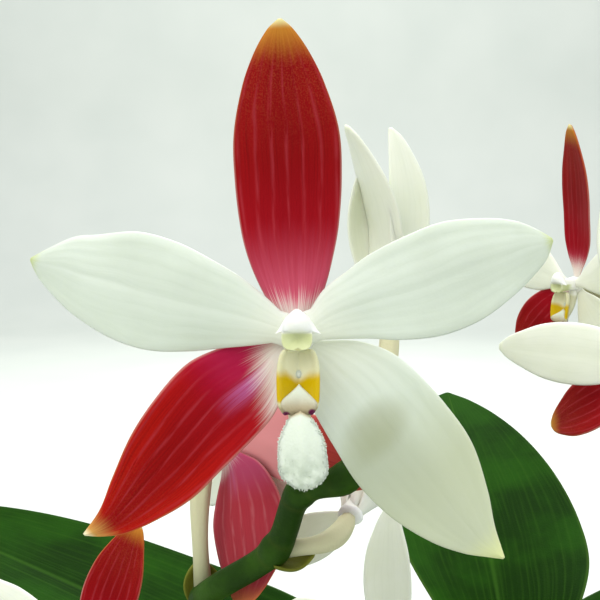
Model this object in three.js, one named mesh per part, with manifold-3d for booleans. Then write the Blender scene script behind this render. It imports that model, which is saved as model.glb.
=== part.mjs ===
// A potted phalaenopsis speciosa: a black plastic pot of bark with a fan of fleshy leaves, thick roots and
// two zigzag flower spikes. Each flower has three sepals, two petals, a column and a lip; some tepals are
// crimson and the others white. Millimetres, +Z up, origin at the middle of the pot's underside. The front
// flower faces -Y.
import * as THREE from "three";
import { mergeVertices } from "three/addons/utils/BufferGeometryUtils.js";
import Module from "manifold-3d";

const wasm = await Module();
wasm.setup();

// Driving dimensions
const POT = {
  height: 92, footRadius: 42, wallTopRadius: 55, collarRadius: 58.5, collarHeight: 12, wall: 1.8,
};
const DRAIN = { count: 8, radius: 4.2, ring: 29 };
const BARK = { top: 79, chips: 23, chipLength: 18, chipWidth: 11, chipHeight: 8, clearance: 0.55, seed: 7 };
const CROWN = { bottom: 58, top: 107, alongFan: 10.5, acrossFan: 7, fanAngle: 118 };
const GAP = 0.35;
const ROOT_RADIUS = 2.3;
const LEAF_THICKNESS = 1.9;
const SPIKE_RADIUS = 2.15;
const TEPAL_THICKNESS = 0.7;
const SEPAL_LAYER = -1.05;
const PETAL_LAYER = 0.15;
const OVARY_REACH = 1.85;
const OVARY_BEND = 5;

const MATERIALS = {
  pot: { color: 0x17191b, roughness: 0.45 },
  bark: { color: 0x6b4527, roughness: 0.95 },
  stem: { color: 0x3f6d24, roughness: 0.5 },
  root: { color: 0xa9b39a, roughness: 0.8 },
  leaf: { color: 0x2f6420, roughness: 0.38 },
  spike: { color: 0x37621c, roughness: 0.45 },
  white: { color: 0xe9efdd, roughness: 0.5 },
  crimson: { color: 0xa3141c, roughness: 0.5 },
  column: { color: 0xf6f8ea, roughness: 0.5 },
  lip: { color: 0xeef2e4, roughness: 0.6 },
};

const root = new THREE.Group();
const degrees = THREE.MathUtils.degToRad;
const vector = (x, y, z) => new THREE.Vector3(x, y, z);

// A repeatable draw of numbers from 0 to 1.
function drawsFrom(seed) {
  let state = seed;
  return () => {
    state = (state * 16807) % 2147483647;
    return state / 2147483647;
  };
}

// The value at t of a smooth line through [t, value] knots: cubic pieces with the slope of the neighbours'
// chord.
function through(knots, t) {
  const last = knots.length - 1;
  if (t <= knots[0][0]) return knots[0][1];
  if (t >= knots[last][0]) return knots[last][1];
  const i = knots.findIndex((knot) => knot[0] > t) - 1;
  const slope = (k) => {
    const [before, after] = [knots[Math.max(k - 1, 0)], knots[Math.min(k + 1, last)]];
    return (after[1] - before[1]) / (after[0] - before[0]);
  };
  const [[t0, y0], [t1, y1]] = [knots[i], knots[i + 1]];
  const h = t1 - t0;
  const s = (t - t0) / h;
  const r = 1 - s;
  const values = y0 * (1 + 2 * s) * r * r + y1 * s * s * (3 - 2 * s);
  return values + h * (slope(i) * s * r * r - slope(i + 1) * s * s * r);
}

// Where a spine that leaves at one angle and turns evenly has got to, after a length out of the whole.
function arc(lift, bend, length, whole) {
  const start = degrees(lift);
  const turn = degrees(bend) / whole;
  const angle = start + turn * length;
  if (Math.abs(turn) < 1e-6) return { out: length * Math.cos(start), up: length * Math.sin(start), angle };
  const out = (Math.sin(angle) - Math.sin(start)) / turn;
  const up = (Math.cos(start) - Math.cos(angle)) / turn;
  return { out, up, angle };
}

// Solids from geometry, and back
function solidOf(geometry) {
  const plain = geometry.index ? geometry.toNonIndexed() : geometry.clone();
  const bare = new THREE.BufferGeometry().setAttribute("position", plain.getAttribute("position"));
  const merged = mergeVertices(bare, 1e-4);
  return new wasm.Manifold(
    new wasm.Mesh({
      numProp: 3,
      vertProperties: merged.attributes.position.array,
      triVerts: new Uint32Array(merged.index.array),
    }),
  );
}

function geometryOf(solid) {
  const mesh = solid.getMesh();
  const geometry = new THREE.BufferGeometry();
  geometry.setAttribute("position", new THREE.BufferAttribute(mesh.vertProperties, 3));
  geometry.setIndex(new THREE.BufferAttribute(mesh.triVerts, 1));
  return geometry;
}

function joined(geometries) {
  return geometryOf(geometries.map(solidOf).reduce((whole, piece) => whole.add(piece)));
}

function place(name, geometry, material, parent = root) {
  const finish = new THREE.MeshStandardMaterial({ ...MATERIALS[material], metalness: 0 });
  const mesh = new THREE.Mesh(geometry, finish);
  mesh.name = name;
  parent.add(mesh);
  return mesh;
}

// A closed blade: two sheets of one triangle grid, half the thickness each side of surface(t, s), stitched
// round the rim. t runs from base to tip and s from -1 at the right edge to 1 at the left.
function blade(surface, thickness, rows, columns) {
  const positions = [];
  const index = [];
  const step = 1e-3;
  for (const side of [1, -1]) {
    for (let i = 0; i <= rows; i++) {
      const even = i / rows;
      const t = 0.55 * even + 0.225 * (1 - Math.cos(Math.PI * even));
      for (let j = 0; j <= columns; j++) {
        const s = (2 * j) / columns - 1;
        const point = surface(t, s);
        const along = surface(Math.min(t + step, 1), s).sub(surface(Math.max(t - step, 0), s));
        const across = surface(t, Math.min(s + step, 1)).sub(surface(t, Math.max(s - step, -1)));
        const normal = along.cross(across).normalize();
        positions.push(...point.addScaledVector(normal, (side * thickness) / 2).toArray());
      }
    }
  }
  const width = columns + 1;
  const sheet = width * (rows + 1);
  const at = (i, j, under) => i * width + j + (under ? sheet : 0);
  for (let i = 0; i < rows; i++) {
    for (let j = 0; j < columns; j++) {
      const [a, b, c, d] = [at(i, j), at(i + 1, j), at(i + 1, j + 1), at(i, j + 1)];
      index.push(a, b, c, a, c, d);
      index.push(a + sheet, c + sheet, b + sheet, a + sheet, d + sheet, c + sheet);
    }
  }
  const stitch = (p, q, r, s) => index.push(p, q, r, p, r, s);
  for (let i = 0; i < rows; i++) {
    stitch(at(i, 0), at(i, 0, true), at(i + 1, 0, true), at(i + 1, 0));
    stitch(at(i + 1, columns), at(i + 1, columns, true), at(i, columns, true), at(i, columns));
  }
  for (let j = 0; j < columns; j++) {
    stitch(at(0, j + 1), at(0, j + 1, true), at(0, j, true), at(0, j));
    stitch(at(rows, j), at(rows, j, true), at(rows, j + 1, true), at(rows, j + 1));
  }
  const geometry = new THREE.BufferGeometry();
  geometry.setAttribute("position", new THREE.Float32BufferAttribute(positions, 3));
  geometry.setIndex(index);
  return geometry;
}

// A closed round stem: a cylinder's rings carried along the curve, with radius(t) at t.
function stem(curve, radius, sides, steps) {
  const frames = curve.computeFrenetFrames(steps, false);
  const geometry = new THREE.CylinderGeometry(1, 1, 1, sides, steps, false);
  const corner = geometry.attributes.position;
  for (let k = 0; k < corner.count; k++) {
    const t = corner.getY(k) + 0.5;
    const ring = Math.round(t * steps);
    const r = radius(t);
    const point = curve
      .getPointAt(ring / steps)
      .addScaledVector(frames.normals[ring], corner.getX(k) * r)
      .addScaledVector(frames.binormals[ring], -corner.getZ(k) * r);
    corner.setXYZ(k, ...point.toArray());
  }
  return geometry;
}

// A ball whose corners are moved by shape(corner), where corner is on a sphere of radius 1.
function moulded(sides, rings, shape) {
  const geometry = mergeVertices(stripped(new THREE.SphereGeometry(1, sides, rings)), 1e-5);
  const corner = geometry.attributes.position;
  for (let k = 0; k < corner.count; k++) {
    const point = shape(new THREE.Vector3().fromBufferAttribute(corner, k), k);
    corner.setXYZ(k, ...point.toArray());
  }
  return geometry;
}

function stripped(geometry) {
  geometry.deleteAttribute("normal");
  geometry.deleteAttribute("uv");
  return geometry;
}

function turned(profile, segments) {
  const points = profile.map(([r, z]) => new THREE.Vector2(r, z));
  return new THREE.LatheGeometry(points, segments).rotateX(Math.PI / 2);
}

// Pot
const collarFoot = POT.height - POT.collarHeight;
const wallRadiusAt = (z) => THREE.MathUtils.mapLinear(z, 0, collarFoot, POT.footRadius, POT.wallTopRadius);
const innerRadiusAt = (z) => wallRadiusAt(z) - POT.wall;

function makePot() {
  const shell = turned(
    [
      [0, 0],
      [POT.footRadius - 1, 0],
      [POT.footRadius, 1],
      [POT.wallTopRadius, collarFoot],
      [POT.collarRadius - 0.8, collarFoot],
      [POT.collarRadius, POT.height - 0.8],
      [POT.collarRadius - 0.6, POT.height],
      [POT.collarRadius - POT.wall, POT.height],
      [POT.collarRadius - POT.wall - 1.2, collarFoot + POT.wall],
      [innerRadiusAt(collarFoot), collarFoot + POT.wall - 0.6],
      [innerRadiusAt(POT.wall), POT.wall],
      [0, POT.wall],
    ],
    32,
  );
  let pot = solidOf(shell);
  for (let k = 0; k < DRAIN.count; k++) {
    const angle = (2 * Math.PI * k) / DRAIN.count;
    const hole = new THREE.CylinderGeometry(DRAIN.radius, DRAIN.radius, 6, 10).rotateX(Math.PI / 2);
    hole.translate(DRAIN.ring * Math.cos(angle), DRAIN.ring * Math.sin(angle), 0);
    pot = pot.subtract(solidOf(hole));
  }
  place("pot", geometryOf(pot), "pot");
}

// Stem base: the short upright stem that the leaves clasp, with its old leaf scars as rings
const fan = degrees(CROWN.fanAngle);

function crownGeometry(grow) {
  const height = CROWN.top - CROWN.bottom;
  const axis = new THREE.LineCurve3(vector(0, 0, CROWN.bottom - grow), vector(0, 0, CROWN.top + grow));
  const ring = (t) => through([[0, 0.55], [0.35, 0.8], [0.6, 1], [0.85, 0.86], [0.96, 0.5], [1, 0.2]], t);
  const geometry = stem(axis, ring, 10, 10);
  const corner = geometry.attributes.position;
  for (let k = 0; k < corner.count; k++) {
    const [x, y] = [corner.getX(k), corner.getY(k)];
    const scar = 1 + 0.05 * Math.cos(((corner.getZ(k) - CROWN.bottom) / height) * 14 * Math.PI);
    const along = x * (CROWN.alongFan * scar + grow);
    const across = y * (CROWN.acrossFan * scar + grow);
    corner.setX(k, along * Math.cos(fan) - across * Math.sin(fan));
    corner.setY(k, along * Math.sin(fan) + across * Math.cos(fan));
  }
  return geometry;
}

// Roots: each leaves the stem base sideways, arches over the bark and dives into it, or hangs over the collar
const ROOTS = [
  { turn: 5, leaves: 80, clear: 1.3, reach: 34, rise: 7, hold: -0.35, ends: -22 },
  { turn: 66, leaves: 79, clear: 1, reach: 27, rise: 5, hold: -0.35, ends: -20 },
  { turn: 178, leaves: 81, clear: 2.3, reach: 36, rise: 7, hold: -0.35, ends: -20 },
  { turn: 224, leaves: 79, clear: 1.3, reach: 29, rise: 6, hold: -0.35, ends: -24 },
  { turn: 336, leaves: 84, clear: 2.3, reach: 69, rise: 20, hold: 0.45, ends: -30 },
  { turn: 276, leaves: 80, clear: 2.3, reach: 33, rise: 6, hold: -0.35, ends: -22 },
];

function crownRadiusToward(angle) {
  const [c, s] = [Math.cos(angle - fan) / CROWN.alongFan, Math.sin(angle - fan) / CROWN.acrossFan];
  return 1 / Math.hypot(c, s);
}

function rootCurve({ turn, leaves, clear, reach, rise, hold, ends }) {
  const angle = degrees(turn);
  const start = crownRadiusToward(angle) + clear;
  const at = (r, z, sway) => vector(r * Math.cos(angle + sway), r * Math.sin(angle + sway), z);
  return new THREE.CatmullRomCurve3([
    at(start, leaves, 0),
    at(start + 0.3 * (reach - start), leaves + rise, 0.05),
    at(start + 0.68 * (reach - start), leaves + 0.75 * rise, -0.04),
    at(reach - 1.5, leaves + hold * rise, 0.02),
    at(reach + 2, leaves + 0.6 * ends, 0.05),
    at(reach + 3, leaves + ends, 0.02),
  ]);
}

function rootGeometry(spec, grow) {
  const taper = [[0, 1.12], [0.2, 1], [0.9, 0.92], [1, 0.45]];
  return stem(rootCurve(spec), (t) => (ROOT_RADIUS + grow) * through(taper, t), 6, 11);
}

// Bark: a bed that fills the pot, its top covered by chips, with plain holes for the stem base and the roots
function makeBark() {
  const draw = drawsFrom(BARK.seed);
  const room = turned(
    [
      [0, POT.wall + GAP],
      [innerRadiusAt(POT.wall) - BARK.clearance, POT.wall + GAP],
      [innerRadiusAt(collarFoot) - BARK.clearance, collarFoot],
      [innerRadiusAt(collarFoot) - BARK.clearance, POT.height],
      [0, POT.height],
    ],
    24,
  );
  const bed = turned([[0, 0], [60, 0], [60, BARK.top - 1.5], [0, BARK.top]], 12);
  let bark = solidOf(bed).intersect(solidOf(room));
  for (let k = 0; k < BARK.chips; k++) {
    const size = 0.65 + 0.5 * draw();
    const chip = new THREE.BoxGeometry(BARK.chipLength * size, BARK.chipWidth * size, BARK.chipHeight * size);
    const corner = chip.attributes.position;
    const pinch = 0.55 + 0.35 * draw();
    for (let c = 0; c < corner.count; c++) {
      if (corner.getX(c) > 0) corner.setY(c, corner.getY(c) * pinch);
      if (corner.getZ(c) > 0) corner.setX(c, corner.getX(c) * (1.25 - pinch / 2));
    }
    chip.rotateX(degrees(50 * (draw() - 0.5)));
    chip.rotateY(degrees(44 * (draw() - 0.5)));
    chip.rotateZ(degrees(360 * draw()));
    const ring = (innerRadiusAt(BARK.top) - 5) * Math.sqrt((k + 0.5) / BARK.chips);
    const angle = k * degrees(137.5);
    chip.translate(ring * Math.cos(angle), ring * Math.sin(angle), BARK.top + 1.6 * draw() - 0.8);
    bark = bark.add(solidOf(chip).intersect(solidOf(room)));
  }
  bark = bark.subtract(solidOf(crownGeometry(GAP)));
  for (const spec of ROOTS) bark = bark.subtract(solidOf(rootGeometry(spec, GAP)));
  const body = bark.decompose().reduce((a, b) => (a.volume() > b.volume() ? a : b));
  place("potting_bark", geometryOf(body), "bark");
}

// Leaves: turn is the compass angle of the leaf from +X, lift and bend its spine, base the height where it
// leaves the stem, lean how far it curves sideways and clear how far it starts from the stem
const LEAVES = [
  {
    name: "leaf_back",
    turn: 79, base: 98, length: 151, width: 60, lift: 24, bend: -6, lean: 8, clear: 0,
  },
  {
    name: "leaf_back_left",
    turn: 167, base: 93, length: 166, width: 60, lift: 22, bend: -6, lean: 0, clear: 1.8,
  },
  {
    name: "leaf_back_right",
    turn: 40, base: 88.5, length: 160, width: 64, lift: 16, bend: -34, lean: -4, clear: 1.2,
  },
  {
    name: "leaf_front",
    turn: 262, base: 93, length: 160, width: 60, lift: 24, bend: -50, lean: 4, clear: 1.3,
  },
  {
    name: "leaf_front_right",
    turn: 318, base: 98, length: 128, width: 50, lift: 44, bend: -36, lean: -3, clear: 0.6,
  },
  {
    name: "leaf_front_left",
    turn: 210, base: 88.5, length: 158, width: 62, lift: 16, bend: -38, lean: -3, clear: 1.2,
  },
];
const LEAF_HALF = [
  [0, 0.2], [0.07, 0.26], [0.2, 0.66], [0.34, 0.93], [0.48, 1], [0.62, 0.95], [0.76, 0.78], [0.88, 0.53],
  [0.96, 0.26], [1, 0.03],
];
const LEAF_FOLD = [[0, 0.6], [0.12, 0.55], [0.35, 0.3], [0.7, 0.16], [1, 0.05]];

function leafSurface({ length, width, lift, bend, lean }) {
  return (t, s) => {
    const spine = arc(lift, bend, length * t, length);
    const half = (width / 2) * through(LEAF_HALF, t);
    const fold = through(LEAF_FOLD, t) * half;
    const ripple = 0.04 * half * Math.sin(9 * t + (s > 0 ? 1.3 : 0)) * s * s;
    const rise = fold * Math.pow(Math.abs(s), 1.35) + ripple;
    const side = half * s * Math.sqrt(1 - 0.45 * through(LEAF_FOLD, t)) + lean * 4 * t * t * (1 - 0.4 * t);
    return vector(
      spine.out - rise * Math.sin(spine.angle),
      side,
      spine.up + rise * Math.cos(spine.angle),
    );
  };
}

function makeLeaves() {
  for (const leaf of LEAVES) {
    const group = new THREE.Group();
    const angle = degrees(leaf.turn);
    const start = crownRadiusToward(angle) + leaf.clear;
    group.position.set(start * Math.cos(angle), start * Math.sin(angle), leaf.base);
    group.rotation.z = angle;
    root.add(group);
    place(leaf.name, blade(leafSurface(leaf), LEAF_THICKNESS, 12, 4), "leaf", group);
  }
}

// Flowers. A flower's own axes: u to the right, v up and w out of its face, from where its tepals meet.
// turn is how far it faces round from -Y toward +X, tilt how far it faces up, roll how far it leans
// anticlockwise.
function flowerGroup({ at, turn, tilt, roll }) {
  const [a, e, r] = [degrees(turn), degrees(tilt), degrees(roll)];
  const w = vector(Math.sin(a) * Math.cos(e), -Math.cos(a) * Math.cos(e), Math.sin(e));
  const level = vector(Math.cos(a), Math.sin(a), 0);
  const upright = w.clone().cross(level);
  const u = level.clone().multiplyScalar(Math.cos(r)).addScaledVector(upright, Math.sin(r));
  const v = upright.multiplyScalar(Math.cos(r)).addScaledVector(level, -Math.sin(r));
  const group = new THREE.Group();
  group.position.set(...at);
  group.quaternion.setFromRotationMatrix(new THREE.Matrix4().makeBasis(u, v, w));
  root.add(group);
  group.updateMatrix();
  return group;
}

// A tepal's surface. Its axis leaves the centre at angle; left and right are its edges' distances from that
// axis at shares of the length; lift and bend set its spine, cup lifts its edges and wave ripples them; twist
// is how far it turns about its own axis by its middle.
function tepalSurface({ angle, start, length, left, right, lift, bend, layer, cup, wave = 0, twist = 0 }) {
  const axis = vector(Math.cos(degrees(angle)), Math.sin(degrees(angle)), 0);
  const across = vector(-axis.y, axis.x, 0);
  return (t, s) => {
    const run = (length - start) * t;
    const share = (start + run) / length;
    const spine = arc(lift, bend, run, length - start);
    const [l, r] = [through(left, share), through(right, share)];
    const offset = (l + r) / 2 + (s * (l - r)) / 2;
    const half = (l - r) / 2;
    const lifted = (cup * s * s + wave * s * s * s * Math.sin(16 * share)) * (half / 5);
    const roll = degrees(twist) * THREE.MathUtils.smoothstep(t, 0, 0.45);
    const aside = offset * Math.cos(roll) - lifted * Math.sin(roll);
    const rise = offset * Math.sin(roll) + lifted * Math.cos(roll);
    return axis
      .clone()
      .multiplyScalar(start + spine.out - rise * Math.sin(spine.angle))
      .addScaledVector(across, aside)
      .add(vector(0, 0, layer + spine.up + rise * Math.cos(spine.angle)));
  };
}

// The front flower's tepals
const FRONT_TEPALS = [
  {
    name: "front_dorsal_sepal", colour: "crimson", angle: 93.1, start: 2, length: 29.9,
    left: [
      [0.04, 1.5], [0.15, 3.2], [0.25, 4.3], [0.35, 4.9], [0.5, 5.2],
      [0.65, 5.05], [0.8, 3.95], [0.9, 2.65], [0.97, 1.25], [1, 0.15],
    ],
    right: [
      [0.04, -1.5], [0.15, -3], [0.25, -3.95], [0.35, -4.65], [0.5, -5.15],
      [0.65, -5.1], [0.8, -3.9], [0.9, -2.55], [0.97, -1.15], [1, -0.15],
    ],
    lift: 3, bend: 6, layer: SEPAL_LAYER, cup: -0.5,
  },
  {
    name: "front_left_petal", colour: "white", angle: 164.1, start: 2.3, length: 26.6,
    left: [
      [0.08, 1.4], [0.15, 2.2], [0.25, 3.25], [0.35, 4.3], [0.5, 5.3],
      [0.65, 5.2], [0.8, 4], [0.9, 2.55], [0.96, 1.4], [1, 0.12],
    ],
    right: [
      [0.08, -1.8], [0.15, -2.75], [0.25, -3.85], [0.35, -4.6], [0.5, -5.4],
      [0.65, -5.35], [0.8, -3.95], [0.87, -3.25], [0.94, -1.7], [1, -0.12],
    ],
    lift: 4, bend: -9, layer: PETAL_LAYER, cup: -0.55, wave: 0.22,
  },
  {
    name: "front_right_petal", colour: "white", angle: 20.5, start: 2.3, length: 26,
    left: [
      [0.08, 1.9], [0.15, 3.2], [0.25, 4.05], [0.35, 4.8], [0.5, 5.25],
      [0.65, 5.25], [0.8, 4.15], [0.9, 2.85], [0.96, 1.45], [1, 0.12],
    ],
    right: [
      [0.08, -1.3], [0.15, -1.9], [0.25, -2.8], [0.35, -3.9], [0.5, -4.9],
      [0.65, -4.8], [0.8, -3.7], [0.9, -2.5], [0.96, -1.45], [1, -0.12],
    ],
    lift: 5, bend: -8, layer: PETAL_LAYER, cup: -0.5, wave: 0.18,
  },
  {
    name: "front_left_sepal", colour: "crimson", angle: -136.8, start: 1.9, length: 28.3,
    left: [
      [0.06, 0.35], [0.1, 1.5], [0.17, 3.2], [0.25, 4.15], [0.35, 4.45], [0.5, 4.55],
      [0.65, 4.6], [0.8, 3.65], [0.9, 2.55], [0.96, 1.3], [1, 0.12],
    ],
    right: [
      [0.06, -0.9], [0.15, -3], [0.25, -4.5], [0.35, -5.25], [0.5, -4.9],
      [0.65, -3.9], [0.8, -2.1], [0.9, -0.75], [1, -0.12],
    ],
    lift: -2, bend: 5, layer: SEPAL_LAYER, cup: 0.5,
  },
  {
    name: "front_right_sepal", colour: "white", angle: -47.2, start: 1.9, length: 29.4,
    left: [
      [0.06, 1.1], [0.15, 3.9], [0.25, 5.5], [0.35, 6], [0.5, 5.95],
      [0.65, 5.3], [0.8, 3.3], [0.9, 1.5], [0.96, 0.65], [1, 0.12],
    ],
    right: [
      [0.06, -0.7], [0.12, -2.3], [0.18, -3.5], [0.25, -4.05], [0.35, -4.7], [0.5, -5.5],
      [0.65, -5.3], [0.8, -4.05], [0.9, -2.5], [0.96, -1.1], [1, -0.12],
    ],
    lift: -2, bend: 6, layer: SEPAL_LAYER, cup: 0.6,
  },
];

// A plain tepal's edges for the other flowers, as shares of its half width
const PLAIN_EDGE = [
  [0, 0.12], [0.08, 0.2], [0.18, 0.52], [0.3, 0.82], [0.5, 1], [0.7, 0.9], [0.86, 0.56], [0.95, 0.28],
  [1, 0.04],
];
const plainEdges = (half) => ({
  left: PLAIN_EDGE.map(([t, share]) => [t, half * share]),
  right: PLAIN_EDGE.map(([t, share]) => [t, -half * share]),
});
const PLAIN_TEPALS = {
  dorsal: { angle: 91, length: 29.5, half: 5.2, layer: SEPAL_LAYER },
  petalLeft: { angle: 163, length: 26.5, half: 5.2, layer: PETAL_LAYER },
  petalRight: { angle: 19, length: 26.5, half: 5.2, layer: PETAL_LAYER },
  sepalLeft: { angle: -134, length: 28.5, half: 5.6, layer: SEPAL_LAYER },
  sepalRight: { angle: -47, length: 28.5, half: 5.6, layer: SEPAL_LAYER },
};

// Column: a stout shaft out of the flower's centre, a foot down to the lip and a three-cornered cap over its
// end
const COLUMN = {
  back: -1.4, front: 4.3, radius: 1.5, footReach: 6.1,
  capHalf: 2.3, capHeight: 2.15, capFoot: 0.4,
};

function columnPieces(sides, footRise) {
  const shaftLine = new THREE.LineCurve3(vector(0, 0.1, COLUMN.back), vector(0, -0.15, COLUMN.front));
  const waist = (t) => COLUMN.radius * (1 - 0.14 * Math.sin(Math.PI * t));
  const shaft = stem(shaftLine, waist, sides, 3).scale(1, 1.12, 1);
  const footPath = new THREE.QuadraticBezierCurve3(
    vector(0, -0.4, -0.5),
    vector(0, -COLUMN.footReach * 0.6, -0.75),
    vector(0, -COLUMN.footReach, footRise),
  );
  const foot = stem(footPath, (t) => 0.72 - 0.15 * t, 5, 3);
  const cap = moulded(sides, sides, (p) => {
    const drop = (1 - p.y) / 2;
    const fullness = Math.pow(Math.max(Math.hypot(p.x, p.z), 0.05), -0.8);
    const half = COLUMN.capHalf * (0.2 + 0.8 * drop) * fullness;
    const height = COLUMN.capFoot + COLUMN.capHeight * (1 - drop);
    return vector(0.1 * drop + p.x * half, height, 3.9 + p.z * 1.2 - 0.5 * p.x * p.x * drop);
  });
  return [shaft, foot, cap];
}

// Lip: a trough whose two sides stand up round the column, a wedge-shaped callus and a hairy midlobe
const LIP = {
  half: 1.8, top: -1.75, bottom: -6.8,
  midTop: -6.05, midLength: 7.5, midRoot: 2, midHalf: 2.3, midThick: 0.95,
  shift: 0.3, hair: 0.3, seed: 11,
};

function lipPieces(rows, columns, sides, rings) {
  const draw = drawsFrom(LIP.seed);
  const trough = blade(
    (t, s) => {
      const v = THREE.MathUtils.lerp(LIP.bottom, LIP.top, t);
      const half = LIP.half * (0.8 + 0.28 * Math.sin(Math.PI * (0.15 + 0.75 * t)));
      const floor = THREE.MathUtils.lerp(1.9, 1.35, t);
      return vector(0.1 + half * s, v, floor + 1.75 * Math.pow(Math.abs(s), 1.6));
    },
    0.6,
    rows,
    columns,
  );
  const callus = moulded(6, rows + 1, (p) => {
    const drop = (1 - p.y) / 2;
    return vector(0.12 + p.x * 1.4 * Math.pow(drop, 0.7), -4.35 - 3 * drop, 2.4 + p.z * (0.5 + 1.3 * drop));
  });
  const midlobe = moulded(sides, rings, (p) => {
    const drop = (1 - p.y) / 2;
    const half = LIP.midHalf * through([[0, 0.55], [0.25, 0.82], [0.6, 1.05], [1, 1]], drop);
    const hair = 1 + (draw() * LIP.hair) / LIP.midHalf;
    return vector(
      LIP.shift + 0.25 * drop + p.x * half * hair,
      LIP.midTop - LIP.midLength * (0.5 - (p.y * hair) / 2),
      LIP.midRoot + 2.7 * Math.sqrt(drop) + p.z * LIP.midThick * hair,
    );
  });
  return rows > 2 ? [trough, callus, midlobe] : [trough, midlobe];
}

const FRONT_FLOWER = { at: [-50, -100, 215], turn: 0, tilt: 6.5, roll: 0 };

function makeFrontFlower() {
  const group = flowerGroup(FRONT_FLOWER);
  for (const tepal of FRONT_TEPALS) {
    place(tepal.name, blade(tepalSurface(tepal), TEPAL_THICKNESS, 12, 6), tepal.colour, group);
  }
  place("front_column", joined(columnPieces(10, 0.65)), "column", group);
  place("front_lip", joined(lipPieces(5, 6, 17, 12)), "lip", group);
}

// A flower whose tepals lean forward by more than this is half open, and only its column stands inside
const HALF_OPEN = 30;
const HALF_OPEN_WIDTH = 0.8;

// The other flowers: red lists the crimson tepals; lift and bend say how far all of them lean and fold back
const FLOWERS = [
  {
    name: "left_flower", at: [-60.3, -57.1, 192.3], turn: 130, tilt: 5, roll: -46, lift: 8, bend: 6,
    red: ["sepalLeft", "sepalRight"],
    own: {
      dorsal: { lift: 50 },
      petalRight: { angle: 8, lift: 10 },
      sepalRight: {
        angle: -69, start: 2.9, length: 23.7, half: 6.4, layer: -1.5, lift: -3, bend: -23, twist: -15,
      },
    },
  },
  {
    name: "lower_flower", at: [-42.3, -65, 184.5], turn: 157, tilt: 24, roll: -57, lift: 74, bend: 8,
    red: [], own: { petalRight: { angle: 12, lift: 10, bend: -8 } },
  },
  {
    name: "upper_flower", at: [-36.7, -56.6, 213.4], turn: -90, tilt: 84, roll: 12, lift: 60, bend: 42,
    red: [],
    own: {
      dorsal: { length: 24, bend: 50 },
      sepalLeft: { length: 22.5, bend: 50 },
      sepalRight: { length: 29.2, half: 7.9, lift: 104, bend: -53, twist: -38 },
      petalLeft: { length: 23, bend: 52 },
      petalRight: { angle: 13, length: 26.3, half: 5.6, lift: 62, bend: 39, twist: -15 },
    },
  },
  {
    name: "low_left_flower", at: [-88.4, -37.4, 143.9], turn: -15, tilt: 0, roll: -20, lift: 5, bend: -20,
    red: ["dorsal", "sepalLeft"], own: { petalLeft: { angle: 168 } },
  },
  {
    name: "low_right_flower", at: [-33.2, -37.5, 143.9], turn: -40, tilt: 5, roll: 8, lift: 5, bend: -20,
    red: ["sepalLeft"], own: { petalRight: { angle: -2 } },
  },
  {
    name: "right_flower", at: [2.5, -19.6, 212.1], turn: -60, tilt: 0, roll: 0, lift: 5, bend: -15,
    red: ["dorsal", "sepalLeft"],
    own: {
      dorsal: { angle: 83, length: 31, half: 4.6, bend: 19, twist: -16 },
      sepalLeft: { start: 2.8, length: 22.5 },
    },
  },
  {
    name: "far_right_flower", at: [7, -50.9, 203.1], turn: -30, tilt: 0, roll: 17, lift: 5, bend: -15,
    red: ["sepalLeft"],
    own: { sepalLeft: { angle: -159, length: 26.6, half: 5.1, lift: -7.5, bend: -31, twist: 37 } },
  },
];

function makeFlower(spec) {
  const group = flowerGroup(spec);
  const halfOpen = spec.lift > HALF_OPEN;
  const shapes = Object.entries(PLAIN_TEPALS).map(([part, plain]) => {
    const tepal = {
      start: spec.red.includes(part) ? 2.3 : 1.1,
      lift: spec.lift,
      bend: spec.bend,
      cup: plain.layer === PETAL_LAYER ? -0.5 : 0.6,
      ...plain,
      ...spec.own[part],
    };
    const edges = plainEdges(tepal.half * (halfOpen ? HALF_OPEN_WIDTH : 1));
    return { part, geometry: blade(tepalSurface({ ...tepal, ...edges }), TEPAL_THICKNESS, 5, 2) };
  });
  const [shaft, ...restOfColumn] = columnPieces(5, 1.6);
  const centre = halfOpen ? [shaft] : [shaft, ...restOfColumn, ...lipPieces(2, 2, 6, 5)];
  const white = shapes.filter(({ part }) => !spec.red.includes(part)).map(({ geometry }) => geometry);
  const pale = joined([...centre, ...white]);
  place(spec.name, pale, "white", group);
  for (const { part, geometry } of shapes.filter((shape) => spec.red.includes(shape.part))) {
    place(spec.name + "_" + part.replace(/[A-Z]/, (c) => "_" + c.toLowerCase()), geometry, "crimson", group);
  }
}

// Spikes: a path of joints from the stem base, with the flowers and buds that hang from them
const SPIKES = [
  {
    name: "front_spike",
    path: [
      [-5.2, -5.8, 98.5], [-29, -16, 118], [-59, -36, 148], [-63.5, -64.5, 171], [-53, -71.5, 181.5],
      [-49.5, -74.5, 190.5], [-44, -77, 193.2], [-40.2, -75.6, 197.7], [-36.9, -72.2, 201.4],
    ],
    joints: [
      { at: 1, flower: "low_right_flower" },
      { at: 2, flower: "low_left_flower" },
      { at: 3, flower: "left_flower" },
      { at: 4, flower: "lower_flower" },
      { at: 5, flower: "front_flower" },
      { at: 7, flower: "upper_flower" },
    ],
    buds: [{ at: 8, reach: [1.6, 4.4, -1.8], size: 2.6 }, { at: 8, reach: [-1, -2.5, 4.6], size: 2 }],
  },
  {
    name: "back_spike",
    path: [
      [7.2, -1.2, 103], [12, -4, 121], [21, -20, 148], [23, -27, 171], [20, -26, 190], [15, -14, 205],
      [22, -8, 217],
    ],
    joints: [
      { at: 4, flower: "far_right_flower" },
      { at: 5, flower: "right_flower" },
    ],
    buds: [{ at: 6, reach: [5, 1, 5], size: 3.2 }, { at: 6, reach: [-2, 6, 3], size: 2.6 }],
  },
];

const PEDICEL_RADIUS = [[0, 1.45], [0.3, 1.15], [0.7, 1.45], [0.95, 1.25], [1, 1]];

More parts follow.
